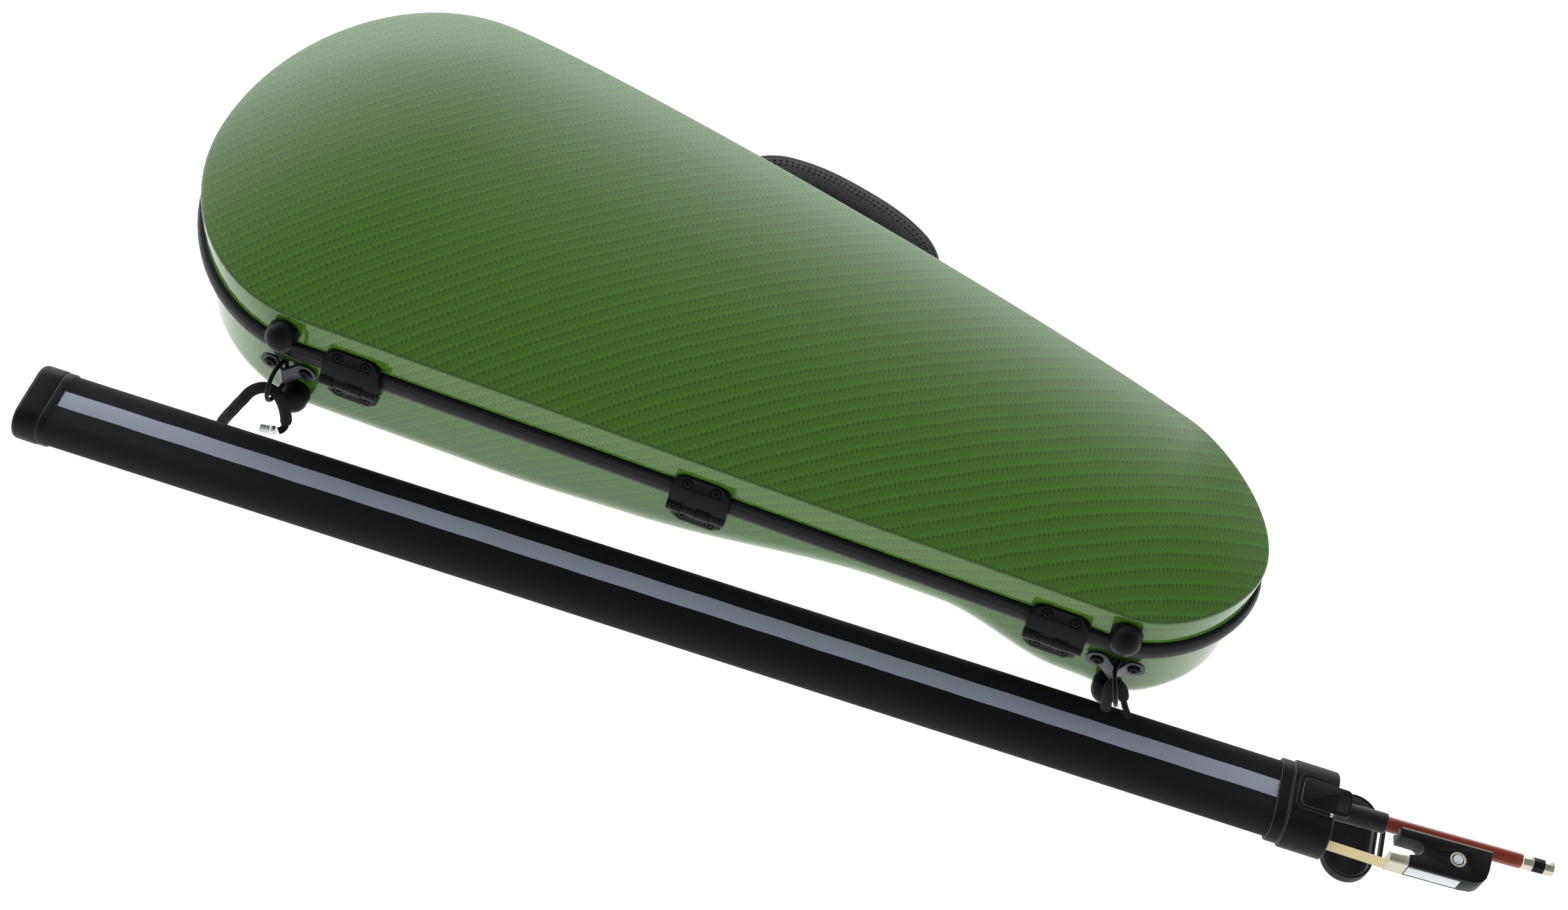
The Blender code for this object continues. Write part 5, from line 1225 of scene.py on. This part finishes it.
stripe_lo, stripe_hi = -L + 20.2, -31.8
rings = []
for i in range(61):
    a = stripe_lo + (stripe_hi - stripe_lo) * i / 60
    wave = 0.12 * math.sin(i * 1.7)
    wave -= 0.8 * (1 - i / 60)
    rings.append([TUBE(a, b, TUBE_R + c) for b, c in ((-5.6 + wave, 0.02), (-5.6 + wave, 0.2), (-5.3 + wave, 0.27), (4.5 + wave, 0.27), (4.8 + wave, 0.2), (4.8 + wave, 0.02))])
swap("tube_stripe", loft(rings), TAPE, see=False)

collar = oval_sleeve(softened([
    (-31.5, TUBE_R + 0.3), (-31.5, TUBE_R + 1.9), (-25.2, TUBE_R + 1.9), (-24.9, TUBE_R + 1.3), (-24.3, TUBE_R + 1.3), (-24.2, COLLAR_R - 0.5), (-23.6, COLLAR_R),
    (-1.0, COLLAR_R), (0, COLLAR_R - 0.8), (0, TUBE_R - TUBE_WALL), (-12.0, TUBE_R - TUBE_WALL), (-12.0, TUBE_R + 0.3)], 0.4, 2))
ridge = prism(TUBE, rounded(-22.0, 0.0, -12.6, 8.6, 4.5, 8), COLLAR_R - 2.0, COLLAR_R + 1.1)
well = prism(TUBE, [(2, -10.7), (-16.6, -10.7), (-18.6, -10.1), (-19.6, -8.2), (-19.6, 4.2), (-18.6, 6.1), (-16.6, 6.7), (2, 6.7)], COLLAR_R - 1.3, COLLAR_R + 4)
knuckle = rod(TUBE, (0.6, -COLLAR_R - 0.2), 1.9, -9.0, 9.0, "b", 24)
swap("tube_collar", carve(collar[:2], unions=[ridge, knuckle], cuts=[well], bevel=0.18, segments=2, angle=40), PLASTIC, raw=False, see=False, sharp=32)
detail("collar_pin", lathe(TUBE, [(COLLAR_R + 0.2, 0), (COLLAR_R + 0.2, 0.85), (COLLAR_R + 1.2, 0.85), (COLLAR_R + 1.4, 0.5), (COLLAR_R + 1.4, 0)], "c", 20, (-2.2, 7.6)), ZINC, "tube_collar", see=False)
ribs = [prism(TUBE, [(a, -7.4), (a + 0.7, -7.4), (a + 0.7, 3.4), (a, 3.4)], COLLAR_R + 0.75, COLLAR_R + 2) for a in (1.2, 3.0, 4.8)]
swap("tube_latch_tab", carve(prism(TUBE, rounded(-19.2, 7.6, -10.2, 6.2, 3.4, 8), COLLAR_R - 1.0, COLLAR_R + 1.0), cuts=ribs, bevel=0.25, segments=2, angle=40), PLASTIC, raw=False, see=False, sharp=32)


class Opened:
    """The tube lid's own frame, once it has swung out and down by a quarter turn."""

    def __call__(self, a, b, c):
        return TUBE(2.4 + (c + 14.1), b, -14.1 - (a - 2.4))


OPENED = Opened()
cup = oval_sleeve(softened([(0.6, 13.9), (7.2, 13.9), (8.8, 12.1), (8.8, 0.6), (7.3, 0.6), (7.3, 10.9), (5.8, 12.3), (0.6, 12.3)], 0.7, 3), OPENED)
plug = prism(OPENED, rounded(-TUBE_FLAT / 2 - 3, TUBE_FLAT / 2 + 3, -3, 3, 1), 7.4, 8.7, "a")
catch = prism(OPENED, [(-12.5, 12.4), (8.5, 12.4), (8.5, 17.2), (7.1, 18.6), (-11.1, 18.6), (-12.5, 17.2)], 1.2, 5.4, "a")
slot = prism(OPENED, [(-10.9, 14.3), (6.9, 14.3), (6.9, 16.7), (-10.9, 16.7)], -1, 9, "a")
swap("tube_lid", carve(cup[:2], unions=[plug, catch], cuts=[slot], bevel=0.25, segments=2, angle=40), PLASTIC, raw=False, see=False, sharp=32)

# ---------------------------------------------------------------- hanging loops
LOOPS = {
    "left": [(-275.5, -23.6, 9.5), (-273.0, -23.6, 16), (-266.5, -25.2, 30), (-260.5, -24.5, 42), (-256, -22, 49.5), (-251, -20, 53.6),
             (-246, -19.2, 54.6), (-240.9, -18.8, 50.5), (-238.4, -18.8, 42), (-237.2, -19.2, 34.5), (-237, -19.8, 28.3)],
    "right": [(244.2, -17.2, 35.5), (242.6, -18.2, 45), (241, -18.2, 53), (241.4, -16.6, 58.2), (245, -15.8, 59),
              (248.4, -16.6, 55.5), (250, -17.2, 51)]}
TIES = {
    "left": [(-237.2, -20.0, 27.6), (-237.2, -21, 25.4), (-238.2, -22.8, 23.9), (-239.8, -24.3, 23.5)],
    "right": [(250.3, -17.3, 50.2), (253, -17.8, 44), (257.5, -18.0, 35.5)]}
for label, r_sleeve, r_cord in (("left", 3.2, 2.0), ("right", 3.0, 1.7)):
    frayed = lambda s, ang, r=r_sleeve: r * (1 + 0.02 * math.sin(3 * ang + 40 * s) + 0.05 * max(0, (s - 0.95) / 0.05) * math.sin(7 * ang))
    swap("strap_loop_" + label, sweep(route(LOOPS[label], 90), frayed, False, 32), WEBBING, see=False, sharp=60)
    swap("loop_cord_" + label, sweep(route(TIES[label], 30), r_cord, False, 20), BRAID, see=False, sharp=60)
clasp_a = Vector((-6.6, -0.9, -0.6)).normalized()
clasp_b = Vector((-clasp_a.y, clasp_a.x, 0)).normalized()
clasp = Frame((-241.1, -24.6, 23.4), clasp_a, clasp_b, clasp_a.cross(clasp_b))
hexagon = carve(lathe(clasp, [(0, 0), (0, 2.85), (3.2, 2.85), (3.2, 0)], "a", 6), bevel=0.2, segments=2)
barrel = lathe(clasp, [(3.1, 0), (3.1, 1.9), (3.7, 2.0), (3.9, 2.24), (5.2, 2.24), (5.4, 2.05), (5.8, 2.05), (6.0, 2.24), (8.8, 2.24), (9.3, 1.9), (9.6, 1.2), (9.6, 0)], "a", 72,
               lobes=lambda t, w: 1.0 + (0.035 if (3.8 < w < 5.3 or 5.9 < w < 9) and int(t * 36 / math.pi) % 3 == 0 else 0))
swap("loop_clasp_left", together(hexagon, metres(barrel)), ZINC, raw=False, see=False, sharp=30)

# ---------------------------------------------------------------- bow
HEAD_A = 123.4 - 745.0 + 22.0


def bow_line(a):
    if a > -20.0:
        return -4.1 - 0.045 * (a + 20.0)
    t = min((-20.0 - a) / (-20.0 - HEAD_A), 1.0)
    return -4.1 + 0.045 * (-20.0 - HEAD_A) * t * (1 - t)


class Bow:
    """a along the tube, p from the stick towards the hair, q up."""

    def __call__(self, a, p, q):
        return TUBE(a, bow_line(a) + p, q)


BOW = Bow()


def stick_radius(a):
    return 2.8 + 1.55 * ramp((a - HEAD_A) / (20 - HEAD_A))


rings = []
marks = [106.0, 105.7, 100, 90, 80, 70, 60, 50, 40, 30, 15, 0, -15, -30, -50, -80] + [-80 + (HEAD_A + 80) * i / 26 for i in range(1, 27)]
for k, a in enumerate(marks):
    r = stick_radius(a) - (0.35 if k == 0 else 0)
    facet = ramp((a - 20) / 20)            # eight flats under the frog, round beyond it
    ring = []
    for i in range(32):
        t = 2 * math.pi * (i + 0.5) / 32 - math.pi / 2
        flat = math.cos(math.pi / 8) / math.cos(((t + math.pi / 8) % (math.pi / 4)) - math.pi / 8)
        q = r * (1 + facet * 0.96 * (flat - 1) + 0 * facet)
        ring.append(BOW(a, q * math.cos(t), q * math.sin(t)))
    rings.append(ring)
swap("bow_stick", loft(rings), WOOD, see=False, sharp=50)
head = prism(BOW, [(HEAD_A - 0.4, -2.8), (HEAD_A - 0.4, 4), (HEAD_A - 2.2, 9.5), (HEAD_A - 6, 16.6), (HEAD_A - 19, 17.6), (HEAD_A - 22, 16.4), (HEAD_A - 17.5, 9.5), (HEAD_A - 14, 4), (HEAD_A - 9, -2.8)], -4.5, 4.5)
swap("bow_head", carve(head, bevel=1.0, segments=3, angle=30), WOOD, raw=False, see=False)
detail("bow_head_plate", prism(BOW, [(HEAD_A - 5.9, 16.7), (HEAD_A - 6.1, 17.5), (HEAD_A - 18.9, 18.5), (HEAD_A - 19.1, 17.7)], -4.4, 4.4), PEARL, "bow_head", see=False)

rings = []
for i in range(40):
    a = 33.6 + (HEAD_A + 1 - 33.6) * i / 39
    t = i / 39
    across, half = 17.4 - 3.0 * t, 5.6 - 1.2 * t
    ring = []
    for k in range(29):
        s = -1 + 2 * k / 28
        ring.append(TUBE(a, across - 0.5 * (1 - abs(s) ** 4) - 0.06 * math.sin(k * 2.4 + 0.8 * math.sin(i)), half * s))
    for k in range(29):
        s = 1 - 2 * k / 28
        ring.append(TUBE(a, across + 0.5 * (1 - abs(s) ** 4) + 0.06 * math.sin(k * 3.1 + 0.8 * math.sin(i)), half * s))
    rings.append(ring)
swap("bow_hair", loft(rings), HAIR, see=False, sharp=80)

frog = [(37.4, 2.8), (88.6, 2.8), (88.3, 8), (87.9, 14), (86.8, 19.2), (84.9, 21.9), (82.0, 23.5), (76, 24.2), (44.4, 24.2), (44.4, 17.8)]
frog += [(47.6 + 3.9 * math.sin(math.pi * i / 14), 12.6 + 4.2 * math.cos(math.pi * i / 14)) for i in range(15)]
frog += [(38.4, 8.2)]
cuts = [prism(BOW, circle(4.7, 32), 20, 100, "a")]
for face in (1, -1):
    cuts.append(lathe(BOW, [(face * 7.0, 0), (face * 7.0, 4.3), (face * 5.7, 4.3), (face * 5.7, 0)], "c", 48, (70.5, 12.8)))
swap("bow_frog", carve(prism(BOW, frog, -6.2, 6.2), cuts=cuts, bevel=0.45, segments=2, angle=35), EBONY, raw=False, see=False, sharp=30)
for side, face in (("upper", 1), ("under", -1)):
    ring_profile = [(face * 5.6, 3.4), (face * 6.22, 3.45), (face * 6.34, 3.6), (face * 6.34, 4.1), (face * 6.22, 4.25), (face * 5.6, 4.28)]
    rings = [[BOW(70.5 + r * math.cos(2 * math.pi * k / 56), 12.8 + r * math.sin(2 * math.pi * k / 56), q) for q, r in ring_profile] for k in range(56)]
    detail("frog_eye_ring_" + side, loft(rings, loop=True), SILVER, "bow_frog", see=False)
    detail("frog_eye_" + side, lathe(BOW, [(face * 5.6, 0), (face * 5.6, 2.65), (face * 6.2, 2.65), (face * 6.36, 2.35), (face * 6.42, 1.3), (face * 6.43, 0)], "c", 48, (70.5, 12.8)), PEARL, "bow_frog", see=False)
detail("frog_slide", carve(prism(BOW, [(45.2, 24.0), (73.6, 24.0), (73.6, 24.7), (45.2, 24.7)], -4.2, 4.2), bevel=0.3, segments=2), PEARL, "bow_frog", raw=False, see=False)
for side, face in (("upper", 1), ("under", -1)):
    detail("frog_liner_" + side, prism(BOW, [(38.4, 2.66), (88.2, 2.66), (88.2, 3.35), (38.4, 3.35)], min(face * 4.9, face * 6.28), max(face * 4.9, face * 6.28)), SILVER, "bow_frog", see=False)
ferrule = carve(prism(BOW, rounded(17.6, 25.0, -6.8, 6.8, 2.6, 8), 34.0, 44.4, "a"), bevel=0.25, segments=2)
swap("frog_ferrule", ferrule, SILVER, raw=False, see=False)


def button(lo, hi, r, r2=None):
    return carve(lathe(BOW, [(lo, 0), (lo, r), (hi, r2 or r), (hi, 0)], "a", 8), bevel=0.35, segments=3)


swap("bow_screw_button", together(button(106.4, 111.9, 4.3), button(118.1, 123.4, 4.3, 4.0)), SILVER, raw=False, see=False)
detail("bow_button_ebony", button(111.6, 118.4, 4.12), EBONY, "bow_screw_button", raw=False, see=False)
detail("bow_button_stud", lathe(BOW, [(123.1, 0), (123.1, 2.2), (123.35, 2.1), (123.4, 1.2), (123.4, 0)], "a", 32), PEARL, "bow_screw_button", see=False)

rings = []
profile = [(31.0, 4.9), (30.8, 5.3), (30.2, 5.6), (29, 5.7)] + [(29 - 57 * i / 24, 5.7) for i in range(1, 24)] + [(-28, 5.6), (-29.4, 5.45), (-30.0, 5.0)]
profile += [(-30.0, 4.7), (31.0, 4.7)]
for a, r in profile:
    rings.append([BOW(a, r * math.cos(2 * math.pi * i / 36), r * math.sin(2 * math.pi * i / 36)) for i in range(36)])
swap("bow_grip", loft(rings, loop=True), GRIP, see=False, sharp=50)
# ---------------------------------------------------------------- camera
cam_data = bpy.data.cameras.new("camera")
cam = bpy.data.objects.new("camera", cam_data)
bpy.context.scene.collection.objects.link(cam)
elevation, azimuth, roll = 0.966, -0.1281, 0.2375
forward = Vector((math.sin(azimuth) * math.cos(elevation), math.cos(azimuth) * math.cos(elevation), -math.sin(elevation)))
level = Vector((math.cos(azimuth), -math.sin(azimuth), 0))
down = forward.cross(level)
right = level * math.cos(roll) - down * math.sin(roll)
up = -(level * math.sin(roll) + down * math.cos(roll))
cam.matrix_world = Matrix.Translation(place((123.61, -662.16, 1100.36))) @ Matrix((right, up, -forward)).transposed().to_4x4()
cam_data.sensor_width = 36
cam_data.lens = 3643.39 * 36 / 2520
cam_data.clip_start, cam_data.clip_end = 0.05, 60
bpy.context.scene.camera = cam

# ---------------------------------------------------------------- floor and light
floor_mesh = bpy.data.meshes.new("floor")
floor_mesh.from_pydata([(-9, -9, -0.0004), (9, -9, -0.0004), (9, 9, -0.0004), (-9, 9, -0.0004)], [], [(0, 1, 2, 3)])
floor = bpy.data.objects.new("floor", floor_mesh)
bpy.context.scene.collection.objects.link(floor)
fm, g, bsdf = new_material("floor_white")
g.link(g.mix(g.noise(coords(g), 3.0), (0.62, 0.62, 0.62), (0.66, 0.66, 0.66)), bsdf.inputs["Base Color"])
bsdf.inputs["Roughness"].default_value = 0.9
bsdf.inputs["Specular IOR Level"].default_value = 0.1
bsdf.inputs["Emission Color"].default_value = (1, 1, 1, 1)
bsdf.inputs["Emission Strength"].default_value = 0.90
floor_mesh.materials.append(fm)

world = bpy.data.worlds.new("studio")
bpy.context.scene.world = world
world.use_nodes = True
g = Graph(world.node_tree)
background = world.node_tree.nodes["Background"]
direction = g.node("ShaderNodeTexCoord").outputs["Generated"]
x, y, z = g.xyz(direction)
# a wide softbox low behind the object, fading upwards and to both sides, in a dim white room
lobe = g.ramp(z, [(0.0, (0.62,) * 3), (0.20, (0.90,) * 3), (0.34, (0.92,) * 3), (0.423, (0.86,) * 3), (0.5, (0.656,) * 3), (0.574, (0.53,) * 3),
                  (0.643, (0.39,) * 3), (0.707, (0.297,) * 3), (0.766, (0.194,) * 3), (0.819, (0.131,) * 3), (0.866, (0.106,) * 3), (0.94, (0.087,) * 3), (1.0, (0.087,) * 3)])
room = g.ramp(z, [(0.0, (0.30,) * 3), (0.26, (0.24,) * 3), (0.5, (0.175,) * 3), (0.707, (0.15,) * 3), (0.87, (0.10,) * 3), (1.0, (0.087,) * 3)])
turn = g.math("ARCTAN2", x, y)
weight = g.math("MULTIPLY", g.remap(turn, math.radians(-98), math.radians(-58), 0.0, 1.0, "SMOOTHSTEP"),
                g.remap(turn, math.radians(6), math.radians(24), 1.0, 0.0, "SMOOTHSTEP"))
sky = g.mix(weight, room, lobe)
g.link(g.mix(1.0, sky, (0.985, 1.0, 1.02), "MULTIPLY"), background.inputs["Color"])
background.inputs["Strength"].default_value = 3.2

view = bpy.context.scene.view_settings
view.view_transform = "Standard"
view.look = "None"
view.exposure = 0.0
view.gamma = 1.0
